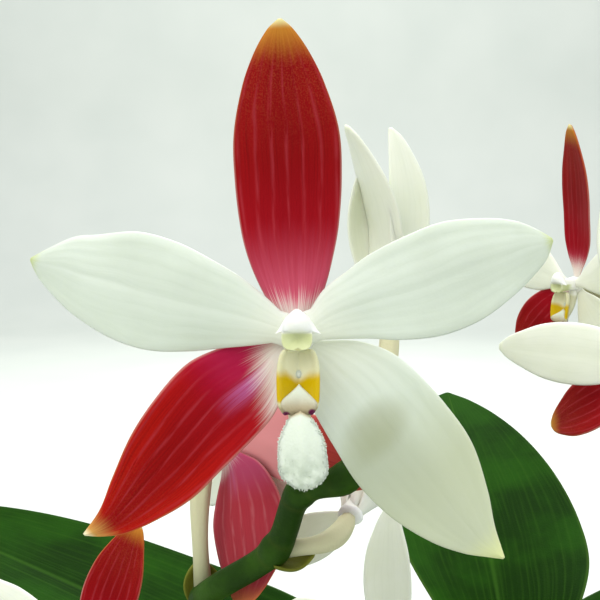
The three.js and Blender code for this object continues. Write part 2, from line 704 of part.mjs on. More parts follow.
function ovaryEnd(flower) {
  const group = flowerGroup(flower);
  root.remove(group);
  const end = vector(0, 0, -OVARY_REACH).applyMatrix4(group.matrix);
  const behind = vector(0, 0, -OVARY_REACH - OVARY_BEND).applyMatrix4(group.matrix);
  return { end, behind };
}

function makeSpikes() {
  const flowers = { front_flower: FRONT_FLOWER };
  for (const flower of FLOWERS) flowers[flower.name] = flower;
  for (const spike of SPIKES) {
    const points = spike.path.map((point) => vector(...point));
    const line = new THREE.CatmullRomCurve3(points, false, "centripetal");
    const pieces = [stem(line, (t) => SPIKE_RADIUS * (1.12 - 0.35 * t), 7, 20)];
    points.slice(1, -1).forEach((point, k) => {
      const knuckle = moulded(6, 4, (p) => p.multiplyScalar(SPIKE_RADIUS * (1.28 - 0.04 * k)).add(point));
      pieces.push(knuckle);
    });
    for (const { at, flower } of spike.joints) {
      const { end, behind } = ovaryEnd(flowers[flower]);
      const from = points[at];
      const away = behind.clone().sub(from).normalize();
      const path = new THREE.CubicBezierCurve3(from, from.clone().addScaledVector(away, 6), behind, end);
      pieces.push(stem(path, (t) => through(PEDICEL_RADIUS, t), 6, 6));
    }
    for (const { at, reach, size } of spike.buds) {
      const from = points[at];
      const tip = from.clone().add(vector(...reach));
      pieces.push(stem(new THREE.LineCurve3(from, tip), () => 0.9, 6, 2));
      const along = vector(...reach).normalize();
      const bud = (p) => p.multiplyScalar(size).addScaledVector(along, p.dot(along) * 0.35).add(tip);
      pieces.push(moulded(6, 5, bud));
    }
    place(spike.name, joined(pieces), "spike");
  }
}

makePot();
makeBark();
place("stem_base", crownGeometry(0), "stem");
ROOTS.forEach((spec, k) => place("root_" + (k + 1), rootGeometry(spec, 0), "root"));
makeLeaves();
makeSpikes();
makeFrontFlower();
FLOWERS.forEach(makeFlower);

export default root;
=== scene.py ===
"""A potted moth orchid: the fine surfaces and finishes that stand on its fixed frame of solids.

Sizes are in millimetres and turn into metres when a mesh is written. +Z is up, the origin is the middle of
the pot's underside and the front bloom faces -Y.
"""

import logging
import math
from dataclasses import dataclass, field, replace
from enum import Enum
from typing import Callable, Optional, Sequence, Union

import bpy
import numpy as np
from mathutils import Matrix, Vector


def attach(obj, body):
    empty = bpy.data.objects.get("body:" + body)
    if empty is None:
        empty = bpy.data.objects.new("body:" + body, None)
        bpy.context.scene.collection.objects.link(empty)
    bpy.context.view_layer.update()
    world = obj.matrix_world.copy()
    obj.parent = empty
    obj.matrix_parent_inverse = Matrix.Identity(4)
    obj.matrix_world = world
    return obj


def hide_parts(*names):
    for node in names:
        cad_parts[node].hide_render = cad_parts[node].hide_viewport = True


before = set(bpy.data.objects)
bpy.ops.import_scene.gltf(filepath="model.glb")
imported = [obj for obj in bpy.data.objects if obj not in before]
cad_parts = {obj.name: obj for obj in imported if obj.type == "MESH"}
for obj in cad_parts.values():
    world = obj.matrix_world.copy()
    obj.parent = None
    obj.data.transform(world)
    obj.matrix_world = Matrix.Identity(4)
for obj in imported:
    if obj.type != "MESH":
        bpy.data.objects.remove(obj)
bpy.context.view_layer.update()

MM = 0.001
ROOT_BODY = "root"
log = logging.getLogger("orchid")

Knots = Sequence[tuple[float, float]]
Colour = tuple[float, float, float, float]
Point = tuple[float, float, float]
Socket = bpy.types.NodeSocket
Value = Union[float, str, Colour, Point, Socket]
Key = Union[int, str]
Layers = tuple[Value, Socket, Socket]
Flesh = Optional[tuple[float, float, Point]]

GOLDEN_ANGLE = math.radians(137.50776)
# The two purple spots low on the lip: places in the bloom's own axes, in millimetres, and colour
LIP_SPOTS = ((-0.98, -7.2), (1.4, -6.95))
LIP_PURPLE = "#6d1a4c"


class Slot(Enum):
    """The record's material slots."""

    POT = "pot_plastic"
    BARK = "bark"
    STEM = "stem"
    ROOT = "root"
    LEAF = "leaf"
    SPIKE = "spike"
    WHITE = "white_tepal"
    CRIMSON = "crimson_tepal"
    COLUMN = "column"
    LIP = "lip"


# Curves and profiles


def through(knots: Knots, at: np.ndarray) -> np.ndarray:
    """Reads a smooth line through knots.

    Between two knots it is the cubic whose end slopes are the slopes of the chords between their
    neighbours; beyond the first and last knot it stays level.

    Args:
        knots: (place, value) pairs in rising order of place.
        at: Places to read.

    Returns:
        The values, in the shape of at.
    """
    places, values = np.array(knots, dtype=float).T
    last = len(places) - 1
    before = np.maximum(np.arange(last + 1) - 1, 0)
    after = np.minimum(np.arange(last + 1) + 1, last)
    slopes = (values[after] - values[before]) / (places[after] - places[before])
    at = np.clip(at, places[0], places[-1])
    k = np.clip(np.searchsorted(places, at, side="right") - 1, 0, last - 1)
    span = places[k + 1] - places[k]
    s = (at - places[k]) / span
    r = 1 - s
    ends = values[k] * (1 + 2 * s) * r * r + values[k + 1] * s * s * (3 - 2 * s)
    return ends + span * (slopes[k] * s * r * r - slopes[k + 1] * s * s * r)


def arc(lift: float, bend: float, run: np.ndarray, whole: float) -> tuple[np.ndarray, ...]:
    """Follows a spine that leaves at one angle and turns evenly.

    Args:
        lift: Angle above the level at the start, in degrees.
        bend: How far it has turned after its whole length, in degrees.
        run: Lengths along it.
        whole: The whole length.

    Returns:
        How far out and how far up each place is, and the spine's angle there in radians.
    """
    start = math.radians(lift)
    turn = math.radians(bend) / whole
    angle = start + turn * run
    if abs(turn) < 1e-6:
        return run * math.cos(start), run * math.sin(start), angle
    return (np.sin(angle) - math.sin(start)) / turn, (math.cos(start) - np.cos(angle)) / turn, angle


def smooth_step(share: np.ndarray) -> np.ndarray:
    """Goes smoothly from 0 at 0 to 1 at 1, and stays level outside."""
    share = np.clip(share, 0, 1)
    return share * share * (3 - 2 * share)


def unit(vectors: np.ndarray) -> np.ndarray:
    """Scales vectors to length one along the last axis."""
    return vectors / np.maximum(np.linalg.norm(vectors, axis=-1, keepdims=True), 1e-12)


def smooth_path(knots: Sequence[Point], count: int) -> np.ndarray:
    """Runs a centripetal Catmull-Rom curve through knots, with its points evenly spaced.

    Each stretch is the cubic whose end slopes weigh the neighbouring chords by the square root of their
    lengths.

    Args:
        knots: Points that the curve passes.
        count: Points to return.

    Returns:
        A (count, 3) array.
    """
    p = np.array(knots, dtype=float)
    p = np.vstack([2 * p[0] - p[1], p, 2 * p[-1] - p[-2]])
    gap = np.sqrt(np.linalg.norm(np.diff(p, axis=0), axis=1))[:, None]
    a, b, c, d = p[:-3], p[1:-2], p[2:-1], p[3:]
    g0, g1, g2 = gap[:-2], gap[1:-1], gap[2:]
    leave = ((b - a) / g0 - (c - a) / (g0 + g1) + (c - b) / g1) * g1
    arrive = ((c - b) / g1 - (d - b) / (g1 + g2) + (d - c) / g2) * g1
    s = np.linspace(0, 1, 60)[None, :, None]
    curve = (
        b[:, None] * (2 * s**3 - 3 * s**2 + 1)
        + c[:, None] * (3 * s**2 - 2 * s**3)
        + leave[:, None] * (s**3 - 2 * s**2 + s)
        + arrive[:, None] * (s**3 - s**2)
    ).reshape(-1, 3)
    return even_path(curve, count)


def circle(sides: int) -> np.ndarray:
    """Even steps round a circle, in radians."""
    return np.arange(sides) * 2 * math.pi / sides


def eased(count: int, ease: float) -> np.ndarray:
    """Steps from -1 to 1 that close up towards both ends; ease 0 keeps them even."""
    even = np.linspace(-1, 1, count)
    return (1 - ease) * even + ease * np.sin(even * math.pi / 2)


def blade_grid(rows: int, columns: int, ease_along: float, ease_across: float) -> list[np.ndarray]:
    """Lays a grid over a blade: shares along from 0 to 1, and places across from -1 to 1."""
    return np.meshgrid((eased(rows, ease_along) + 1) / 2, eased(columns, ease_across), indexing="ij")


def round_edge(edge: np.ndarray, width: float) -> np.ndarray:
    """Rounds a rim off as a quarter circle: 0 on the rim, 1 from the width inwards."""
    return np.sqrt(1 - (1 - np.clip(edge / width, 0, 1)) ** 2)


def even_path(points: np.ndarray, count: int) -> np.ndarray:
    """Places points at equal steps of length along a line of points.

    Args:
        points: (n, 3) corners of the line.
        count: Points to return.

    Returns:
        A (count, 3) array.
    """
    steps = np.linalg.norm(np.diff(points, axis=0), axis=1)
    length = np.concatenate([[0], np.cumsum(steps)])
    wanted = np.linspace(0, length[-1], count)
    return np.stack([np.interp(wanted, length, points[:, k]) for k in range(3)], axis=1)


def bezier(a: np.ndarray, b: np.ndarray, c: np.ndarray, d: np.ndarray, count: int) -> np.ndarray:
    """Places evenly spaced points on a cubic Bezier curve.

    Args:
        a: Its start.
        b: The point that its start heads for.
        c: The point that its end comes from.
        d: Its end.
        count: Points to return.

    Returns:
        A (count, 3) array.
    """
    t = np.linspace(0, 1, 4 * count)[:, None]
    curve = a * (1 - t) ** 3 + 3 * b * t * (1 - t) ** 2 + 3 * c * t**2 * (1 - t) + d * t**3
    return even_path(curve, count)


# Closed surfaces


NO_TRIANGLES = np.zeros((0, 3), dtype=int)


@dataclass
class Skin:
    """A closed surface.

    Attributes:
        points: (n, 3) corners in millimetres.
        quads: (m, 4) corner numbers of the four-sided faces.
        triangles: (k, 3) corner numbers of the three-sided faces.
        marks: (n, 3) pattern coordinates that the finish reads at each corner.
        finish: Which of the piece's finishes the faces take.
    """

    points: np.ndarray
    quads: np.ndarray
    triangles: np.ndarray
    marks: np.ndarray
    finish: int = 0

    def outward(self) -> "Skin":
        """Turns the faces over if the volume that they enclose comes out negative.

        Returns:
            The same surface.
        """
        three = np.vstack([self.quads[:, [0, 1, 2]], self.quads[:, [0, 2, 3]], self.triangles])
        a, b, c = (self.points[three[:, k]] for k in range(3))
        if np.einsum("ij,ij->", a, np.cross(b, c)) < 0:
            self.quads = self.quads[:, ::-1]
            self.triangles = self.triangles[:, ::-1]
        return self


def grid_quads(ids: np.ndarray) -> np.ndarray:
    """Lists the faces of a grid of corner numbers, each as (i, j), (i + 1, j), (i + 1, j + 1), (i, j + 1)."""
    corners = [ids[:-1, :-1], ids[1:, :-1], ids[1:, 1:], ids[:-1, 1:]]
    return np.stack(corners, axis=-1).reshape(-1, 4)


def normals_of(sheet: np.ndarray) -> np.ndarray:
    """Works out a grid sheet's normals as the cross product of its steps along and across."""
    return unit(np.cross(np.gradient(sheet, axis=0), np.gradient(sheet, axis=1)))


def blade(sheet: np.ndarray, half: np.ndarray, marks: np.ndarray, finish: int = 0) -> Skin:
    """Thickens a grid sheet into a closed blade.

    The front is the sheet moved out along its normals by half the thickness and the back is the sheet moved
    in as far; the two share the sheet's rim, so the edge is closed.

    Args:
        sheet: (rows, columns, 3) middle surface.
        half: (rows, columns) half thicknesses.
        marks: (rows, columns, 2) pattern coordinates; the third is 1 in front and 0 behind.
        finish: Which of the piece's finishes it takes.

    Returns:
        The blade.
    """
    rows, columns = half.shape
    lift = normals_of(sheet) * half[..., None]
    front = sheet + lift
    back = sheet - lift
    rim = np.ones((rows, columns), dtype=bool)
    rim[1:-1, 1:-1] = False
    front[rim] = sheet[rim]
    ids = np.arange(rows * columns).reshape(rows, columns)
    under = ids.copy()
    under[~rim] = rows * columns + np.arange((~rim).sum())
    side = np.where(rim, 0.5, 1.0)[..., None]
    marks_front = np.concatenate([marks, side], axis=-1).reshape(-1, 3)
    marks_back = np.concatenate([marks, np.zeros_like(side)], axis=-1)[~rim]
    quads = np.vstack([grid_quads(ids), grid_quads(under)[:, ::-1]])
    points = np.vstack([front.reshape(-1, 3), back[~rim]])
    return Skin(points, quads, NO_TRIANGLES, np.vstack([marks_front, marks_back]), finish).outward()


def capped_rings(rings: np.ndarray, marks: np.ndarray, finish: int = 0) -> Skin:
    """Closes a stack of rings, whose first and last ring each meet in one middle corner.

    Args:
        rings: (n, sides, 3) corners of the rings.
        marks: (n, sides, 3) pattern coordinates.
        finish: Which of the piece's finishes it takes.

    Returns:
        The closed surface.
    """
    n, sides, _ = rings.shape
    ids = np.arange(n * sides).reshape(n, sides)
    around = np.concatenate([ids, ids[:, :1]], axis=1)
    first, last = n * sides, n * sides + 1
    fan = [
        np.stack([np.full(sides, first), around[0, :-1], around[0, 1:]], axis=1),
        np.stack([np.full(sides, last), around[-1, 1:], around[-1, :-1]], axis=1),
    ]
    ends = np.stack([rings[0].mean(axis=0), rings[-1].mean(axis=0)])
    end_marks = np.stack([marks[0].mean(axis=0), marks[-1].mean(axis=0)])
    points = np.vstack([rings.reshape(-1, 3), ends])
    all_marks = np.vstack([marks.reshape(-1, 3), end_marks])
    return Skin(points, grid_quads(around), np.vstack(fan), all_marks, finish).outward()


def tube(
    path: np.ndarray, radius: np.ndarray, sides: int, marks: Optional[np.ndarray] = None, finish: int = 0
) -> Skin:
    """Carries a round section along a path and rounds its two ends.

    The rings stand square to the path. Their first direction is the one least in line with the path as a
    whole, made square to it at each ring, so the rings never twist.

    Args:
        path: (n, 3) middle line.
        radius: (n,) or (n, sides) radii.
        sides: Corners in a ring.
        marks: (n, 3) pattern coordinates; by default the share of the way along.
        finish: Which of the piece's finishes it takes.

    Returns:
        The closed tube.
    """
    n = len(path)
    if radius.ndim == 1:
        radius = np.repeat(radius[:, None], sides, axis=1)
    if marks is None:
        marks = np.stack([np.linspace(0, 1, n), np.zeros(n), np.zeros(n)], axis=1)
    tangent = unit(np.gradient(path, axis=0))
    across = np.linalg.svd(tangent)[2][-1]
    first = unit(across - tangent * (tangent @ across)[:, None])
    second = np.cross(tangent, first)
    dome = np.radians([75, 50, 25])
    held = np.clip(np.arange(-3, n + 3), 0, n - 1)
    path = np.vstack([
        path[:1] - tangent[:1] * (np.sin(dome) * radius[0].mean())[:, None],
        path,
        path[-1:] + tangent[-1:] * (np.sin(dome[::-1]) * radius[-1].mean())[:, None],
    ])
    radius = np.vstack([radius[:1] * np.cos(dome)[:, None], radius, radius[-1:] * np.cos(dome[::-1])[:, None]])
    around = circle(sides)[:, None]
    ring = np.cos(around) * first[held, None] + np.sin(around) * second[held, None]
    rings = path[:, None] + ring * radius[..., None]
    return capped_rings(rings, np.repeat(marks[held, None], sides, axis=1), finish)


def moulded(
    sides: int,
    rings: int,
    shape: Callable[[np.ndarray], np.ndarray],
    marks: Optional[Callable[[np.ndarray], np.ndarray]] = None,
    finish: int = 0,
) -> Skin:
    """Moves the corners of a ball of radius 1, whose poles lie on its Y axis.

    Args:
        sides: Corners in a ring.
        rings: Rings between the poles.
        shape: Turns (n, 3) corners of the ball into corners of the surface.
        marks: Turns the finished corners into pattern coordinates; by default they are kept.
        finish: Which of the piece's finishes it takes.

    Returns:
        The closed surface.
    """
    down = np.linspace(0, math.pi, rings + 2)[1:-1, None]
    around = circle(sides)
    ball = np.stack([
        np.sin(down) * np.cos(around),
        np.repeat(np.cos(down), sides, axis=1),
        np.sin(down) * np.sin(around),
    ], axis=-1)
    skin = capped_rings(ball, ball, finish)
    skin.points[-2:] = [[0, 1, 0], [0, -1, 0]]
    skin.points = shape(skin.points)
    skin.marks = skin.points.copy() if marks is None else marks(skin.points)
    return skin.outward()


def stretched_ball(sides: int, rings: int, size: Point, middle: Point, finish: int) -> Skin:
    """A ball stretched to a half size along each axis and moved to its middle."""
    return moulded(sides, rings, lambda p: p * np.array(size) + np.array(middle), finish=finish)


def turned(profile: Knots, sides: int) -> Skin:
    """Turns a profile round +Z.

    Args:
        profile: (radius, height) points, the first and the last on the axis.
        sides: Corners in a ring.

    Returns:
        The closed surface.
    """
    outline = np.array(profile, dtype=float)
    around = circle(sides)
    body = outline[1:-1]
    rings = np.stack([
        body[:, :1] * np.cos(around),
        body[:, :1] * np.sin(around),
        np.repeat(body[:, 1:], sides, axis=1),
    ], axis=-1)
    skin = capped_rings(rings, rings)
    skin.points[-2:] = [[0, 0, outline[0, 1]], [0, 0, outline[-1, 1]]]
    return skin.outward()


def rounded(outline: Sequence[tuple[float, float, float]], steps: int = 5) -> list[tuple[float, float]]:
    """Rounds the corners of an open outline.

    A corner is replaced by a quadratic curve between the points that lie its radius away on both sides.

    Args:
        outline: (x, y, radius) corners; a radius of 0 keeps the corner.
        steps: Points on each rounded corner, less one.

    Returns:
        The outline's points.
    """
    points = []
    for k, (x, y, radius) in enumerate(outline):
        if radius == 0:
            points.append((x, y))
            continue
        here = np.array([x, y])
        back = unit(np.array(outline[k - 1][:2]) - here) * radius
        ahead = unit(np.array(outline[k + 1][:2]) - here) * radius
        t = np.linspace(0, 1, steps + 1)[:, None]
        bend = here + back * (1 - t) ** 2 + ahead * t**2
        points.extend((float(a), float(b)) for a, b in bend)
    return points


# Pieces


def write_mesh(name: str, skins: Sequence[Skin], finishes: Sequence[bpy.types.Material]) -> bpy.types.Object:
    """Writes closed surfaces into one object at the origin.

    Args:
        name: The object's name.
        skins: Its surfaces.
        finishes: Its materials, in the order that the surfaces number them.

    Returns:
        The object.
    """
    starts = np.cumsum([0] + [len(skin.points) for skin in skins])
    points = np.vstack([skin.points for skin in skins]) * MM
    marks = np.vstack([skin.marks for skin in skins])
    quads = np.vstack([skin.quads + start for skin, start in zip(skins, starts)]).astype(int)
    triangles = np.vstack([skin.triangles + start for skin, start in zip(skins, starts)]).astype(int)
    slots = [np.full(len(skin.quads), skin.finish) for skin in skins]
    slots += [np.full(len(skin.triangles), skin.finish) for skin in skins]
    mesh = bpy.data.meshes.new(name)
    mesh.vertices.add(len(points))
    mesh.vertices.foreach_set("co", points.ravel())
    mesh.loops.add(quads.size + triangles.size)
    mesh.loops.foreach_set("vertex_index", np.concatenate([quads.ravel(), triangles.ravel()]))
    mesh.polygons.add(len(quads) + len(triangles))
    sizes = np.concatenate([np.full(len(quads), 4), np.full(len(triangles), 3)])
    mesh.polygons.foreach_set("loop_start", np.concatenate([[0], np.cumsum(sizes)[:-1]]))
    mesh.polygons.foreach_set("material_index", np.concatenate(slots))
    mesh.update(calc_edges=True)
    mesh.attributes.new("marks", "FLOAT_VECTOR", "POINT").data.foreach_set("vector", marks.ravel())
    for finish in finishes:
        mesh.materials.append(finish)
    mesh.shade_smooth()
    mesh.validate()
    piece = bpy.data.objects.new(name, mesh)
    bpy.context.scene.collection.objects.link(piece)
    return piece


def seat(piece: bpy.types.Object, slot: Slot, *nodes: str) -> bpy.types.Object:
    """Lets a piece stand for its nodes and ride on the one body.

    Args:
        piece: The piece.
        slot: Its slot in the record; not used.
        *nodes: The solids that it stands for.

    Returns:
        The piece.
    """
    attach(piece, ROOT_BODY)
    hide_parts(*nodes)
    log.info("%s: %d faces, stands for %s", piece.name, len(piece.data.polygons), ", ".join(nodes))
    return piece


# Finishes


def paint(code: str) -> Colour:
    """Turns a hex colour into the linear colour that a shader takes.

    Args:
        code: The colour, as # and six digits.

    Returns:
        Red, green and blue from 0 to 1, and an alpha of 1.
    """
    parts = [int(code[k:k + 2], 16) / 255 for k in (1, 3, 5)]
    linear = [c / 12.92 if c <= 0.04045 else ((c + 0.055) / 1.055) ** 2.4 for c in parts]
    return (*linear, 1.0)


class Nodes:
    """A node tree that is being written. Most methods add a node and return what it puts out."""

    def __init__(self, tree: bpy.types.NodeTree) -> None:
        """Starts on a tree."""
        self.tree = tree

    def add(self, kind: str, **settings: object) -> bpy.types.Node:
        """Adds a node.

        Args:
            kind: Its type.
            **settings: What is set on it, by name.

        Returns:
            The node.
        """
        node = self.tree.nodes.new(kind)
        for name, setting in settings.items():
            setattr(node, name, setting)
        return node

    def feed(self, socket: Socket, value: Value) -> None:
        """Links a socket, or sets it where the value is plain.

        Args:
            socket: The socket.
            value: Another socket, a number, a vector or a hex colour.
        """
        if isinstance(value, Socket):
            self.tree.links.new(value, socket)
        else:
            socket.default_value = paint(value) if isinstance(value, str) else value

    def wired(self, kind: str, feeds: dict[Key, Value], out: Key = 0, **settings: object) -> Socket:
        """Adds a node and feeds it.

        Args:
            kind: Its type.
            feeds: What its inputs get, by number or name.
            out: The output to return, by number or name.
            **settings: What is set on it, by name.

        Returns:
            The output.
        """
        node = self.add(kind, **settings)
        for key, value in feeds.items():
            self.feed(node.inputs[key], value)
        return node.outputs[out]

    def maths(self, operation: str, a: Value, b: Value = 0.0, clamp: bool = False) -> Socket:
        """Adds a Math node."""
        return self.wired("ShaderNodeMath", {0: a, 1: b}, operation=operation, use_clamp=clamp)

    def times(self, a: Value, b: Value, clamp: bool = False) -> Socket:
        """Multiplies two numbers."""
        return self.maths("MULTIPLY", a, b, clamp)

    def plus(self, a: Value, b: Value) -> Socket:
        """Adds two numbers."""
        return self.maths("ADD", a, b)

    def minus(self, a: Value, b: Value) -> Socket:
        """Takes the second number off the first."""
        return self.maths("SUBTRACT", a, b)

    def size(self, value: Value) -> Socket:
        """Drops a number's sign."""
        return self.maths("ABSOLUTE", value)

    def between(self, value: Value, low: Value, high: Value) -> Socket:
        """Goes smoothly from 0 at low to 1 at high."""
        feeds = {"Value": value, "From Min": low, "From Max": high}
        return self.wired("ShaderNodeMapRange", feeds, "Result", interpolation_type="SMOOTHSTEP", clamp=True)

    def fade(self, value: Value, low: Value, high: Value) -> Socket:
        """Goes smoothly from 1 at low to 0 at high."""
        return self.minus(1.0, self.between(value, low, high))

    def mix(self, factor: Value, a: Value, b: Value) -> Socket:
        """Mixes two colours."""
        return self.wired("ShaderNodeMix", {0: factor, 6: a, 7: b}, 2, data_type="RGBA")

    def tint(self, colour: Value, over: Value, mask: Value, amount: Value) -> Socket:
        """Lays a colour over another as far as a mask times an amount."""
        return self.mix(self.times(mask, amount), colour, over)

    def lerp(self, factor: Value, a: Value, b: Value) -> Socket:
        """Mixes two numbers."""
        return self.wired("ShaderNodeMix", {0: factor, 2: a, 3: b}, data_type="FLOAT")

    def split(self, vector: Value) -> tuple[Socket, ...]:
        """Takes a vector apart."""
        return tuple(self.wired("ShaderNodeSeparateXYZ", {0: vector}).node.outputs)

    def vector(self, x: Value, y: Value, z: Value) -> Socket:
        """Puts a vector together."""
        return self.wired("ShaderNodeCombineXYZ", {0: x, 1: y, 2: z})

    def noise(self, vector: Value, scale: Value, detail: float = 3.0, rough: float = 0.5) -> Socket:
        """Adds a noise texture's value, about 0.5 on average."""
        feeds = {"Vector": vector, "Scale": scale, "Detail": detail, "Roughness": rough}
        return self.wired("ShaderNodeTexNoise", feeds, "Fac")

    def marks(self) -> tuple[Socket, ...]:
        """Reads the piece's pattern coordinates."""
        return self.split(self.add("ShaderNodeAttribute", attribute_name="marks").outputs["Vector"])

    def place(self) -> Socket:
        """Reads the object coordinates, in metres."""
        return self.add("ShaderNodeTexCoord").outputs["Object"]

    def bump(self, height: Value, distance: float, strength: float) -> Socket:
        """Turns a height into a normal; distance is in metres."""
        feeds = {"Strength": strength, "Distance": distance, "Height": height}
        return self.wired("ShaderNodeBump", feeds, "Normal")

    def group(self, tree: bpy.types.NodeTree, **values: Value) -> dict[str, Socket]:
        """Places a node group and feeds its inputs by name, with _ for a space; gives its outputs by name."""
        feeds = {name.replace("_", " "): value for name, value in values.items()}
        return {out.name: out for out in self.wired("ShaderNodeGroup", feeds, node_tree=tree).node.outputs}

    def put_out(self, **outputs: Socket) -> bpy.types.NodeTree:
        """Ends a node group.

        Args:
            **outputs: What it puts out, by name.

        Returns:
            The group.
        """
        end = self.add("NodeGroupOutput")
        for name, socket in outputs.items():
            self.feed(end.inputs[name], socket)
        return self.tree


def new_group(name: str, inputs: dict[str, float], outputs: Sequence[str], vector: str = "") -> Nodes:
    """Starts a shader node group.

    Args:
        name: The group's name.
        inputs: Number inputs and their first values.
        outputs: Number outputs.
        vector: A vector input that comes before the numbers.

    Returns:
        The group's tree, ready to write.
    """
    tree = bpy.data.node_groups.new(name, "ShaderNodeTree")
    if vector:
        tree.interface.new_socket(vector, in_out="INPUT", socket_type="NodeSocketVector")
    for title, start in inputs.items():
        socket = tree.interface.new_socket(title, in_out="INPUT", socket_type="NodeSocketFloat")
        socket.default_value = start
    for title in outputs:
        tree.interface.new_socket(title, in_out="OUTPUT", socket_type="NodeSocketFloat")
    return Nodes(tree)


class Effects:
    """The shader node groups that several finishes share, each built once."""

    def __init__(self) -> None:
        """Builds the groups."""
        self.lines = self.make_lines()
        self.bounds = self.make_bounds()
        self.tissue = self.make_tissue()

    @staticmethod
    def make_lines() -> bpy.types.NodeTree:
        """Builds lines that run along a blade and close up towards its ends.

        A cosine of the share across makes Count lines; a slow noise moves each one a little and a second
        noise makes it come and go along its length.

        Returns:
            The group, with the outputs Line and Streak.
        """
        inputs = {"Along": 0.0, "Across": 0.0, "Count": 8.0, "Thin": 6.0, "Wander": 0.5, "Seed": 0.0}
        n = new_group("Lengthwise lines", inputs, ["Line", "Streak"])
        along, across, count, thin, wander, seed = tuple(n.add("NodeGroupInput").outputs)[:6]
        wide = n.times(across, 2.2)
        drift = n.noise(n.vector(wide, n.times(along, 3.0), seed), 1.6, 1.0)
        place = n.plus(across, n.times(n.minus(drift, 0.5), wander))
        wave = n.maths("COSINE", n.times(n.times(place, count), math.pi))
        peak = n.maths("POWER", n.maths("MAXIMUM", wave, 0.0), thin)
        come = n.noise(n.vector(n.times(wide, 3.0), n.times(along, 4.0), seed), 2.0, 2.0)
        streak = n.noise(n.vector(n.times(place, 34.0), n.times(along, 2.2), seed), 1.0, 3.0, 0.6)
        return n.put_out(Line=n.times(peak, n.between(come, 0.3, 0.62), clamp=True), Streak=streak)

    @staticmethod
    def make_bounds() -> bpy.types.NodeTree:
        """Builds masks of a blade's base, tip and rim, each with an uneven border.

        Returns:
            The group, with the outputs Base, Tip and Rim.
        """
        inputs = {
            "Along": 0.0, "Across": 0.0, "Base end": 0.2, "Tip start": 0.9, "Rim start": 0.92, "Uneven": 0.1,
        }
        n = new_group("Blade bounds", inputs, ["Base", "Tip", "Rim"])
        along, across, base_end, tip_start, rim_start, uneven = tuple(n.add("NodeGroupInput").outputs)[:6]
        ragged = n.noise(n.vector(n.times(across, 9.0), n.times(along, 3.0), 0.0), 1.3, 3.0)
        place = n.plus(along, n.times(n.minus(ragged, 0.5), uneven))
        return n.put_out(
            Base=n.fade(place, 0.0, base_end),
            Tip=n.between(place, tip_start, 1.0),
            Rim=n.between(n.size(across), rim_start, 1.0),
        )

    @staticmethod
    def make_tissue() -> bpy.types.NodeTree:
        """Builds a plant's fine cell relief and slow mottling from object coordinates.

        Returns:
            The group, with the outputs Relief and Mottle.
        """
        inputs = {"Cells per metre": 2500.0, "Mottle per metre": 120.0}
        n = new_group("Plant tissue", inputs, ["Relief", "Mottle"], "Place")
        place, cells, mottle = tuple(n.add("NodeGroupInput").outputs)[:3]
        cell = n.wired("ShaderNodeTexVoronoi", {"Vector": place, "Scale": cells}, "Distance", feature="F1")
        return n.put_out(Relief=n.minus(1.0, cell), Mottle=n.noise(place, mottle, 4.0))


def new_finish(name: str) -> tuple[bpy.types.Material, Nodes, bpy.types.NodeInputs]:
    """Starts a material.

    Args:
        name: The material's name.

    Returns:
        The material, its tree and its shader's inputs.
    """
    material = bpy.data.materials.new(name)
    material.use_nodes = True
    return material, Nodes(material.node_tree), material.node_tree.nodes["Principled BSDF"].inputs


@dataclass(frozen=True)
class Finish:
    """A finish. Each class below lays its own colour, roughness and height.

    Attributes:
        name: The material's name.
        relief: The height's full size in metres, and how strongly it shows.
        flesh: How far light sinks in, in millimetres; the share of it that does; and how far each of red,
            green and blue goes, as shares of that depth.
        specular: The specular level.
        ior: The index of refraction.
    """

    name: str
    relief: tuple[float, float]
    flesh: Flesh = None
    specular: float = 0.5
    ior: float = 1.5

    def lay(self, n: Nodes, effects: Effects) -> Layers:
        """Lays the colour, roughness and height; each finish has its own way."""
        raise NotImplementedError

    def material(self, effects: Effects) -> bpy.types.Material:
        """Writes the material.

        Args:
            effects: The shared node groups.

        Returns:
            The material.
        """
        material, n, shader = new_finish(self.name)
        colour, roughness, height = self.lay(n, effects)
        n.feed(shader["Base Color"], colour)
        n.feed(shader["Roughness"], roughness)
        n.feed(shader["Normal"], n.bump(height, *self.relief))
        shader["Specular IOR Level"].default_value = self.specular
        shader["IOR"].default_value = self.ior
        if self.flesh:
            depth, weight, reach = self.flesh
            shader["Subsurface Weight"].default_value = weight
            shader["Subsurface Radius"].default_value = reach
            shader["Subsurface Scale"].default_value = depth * MM
        return material


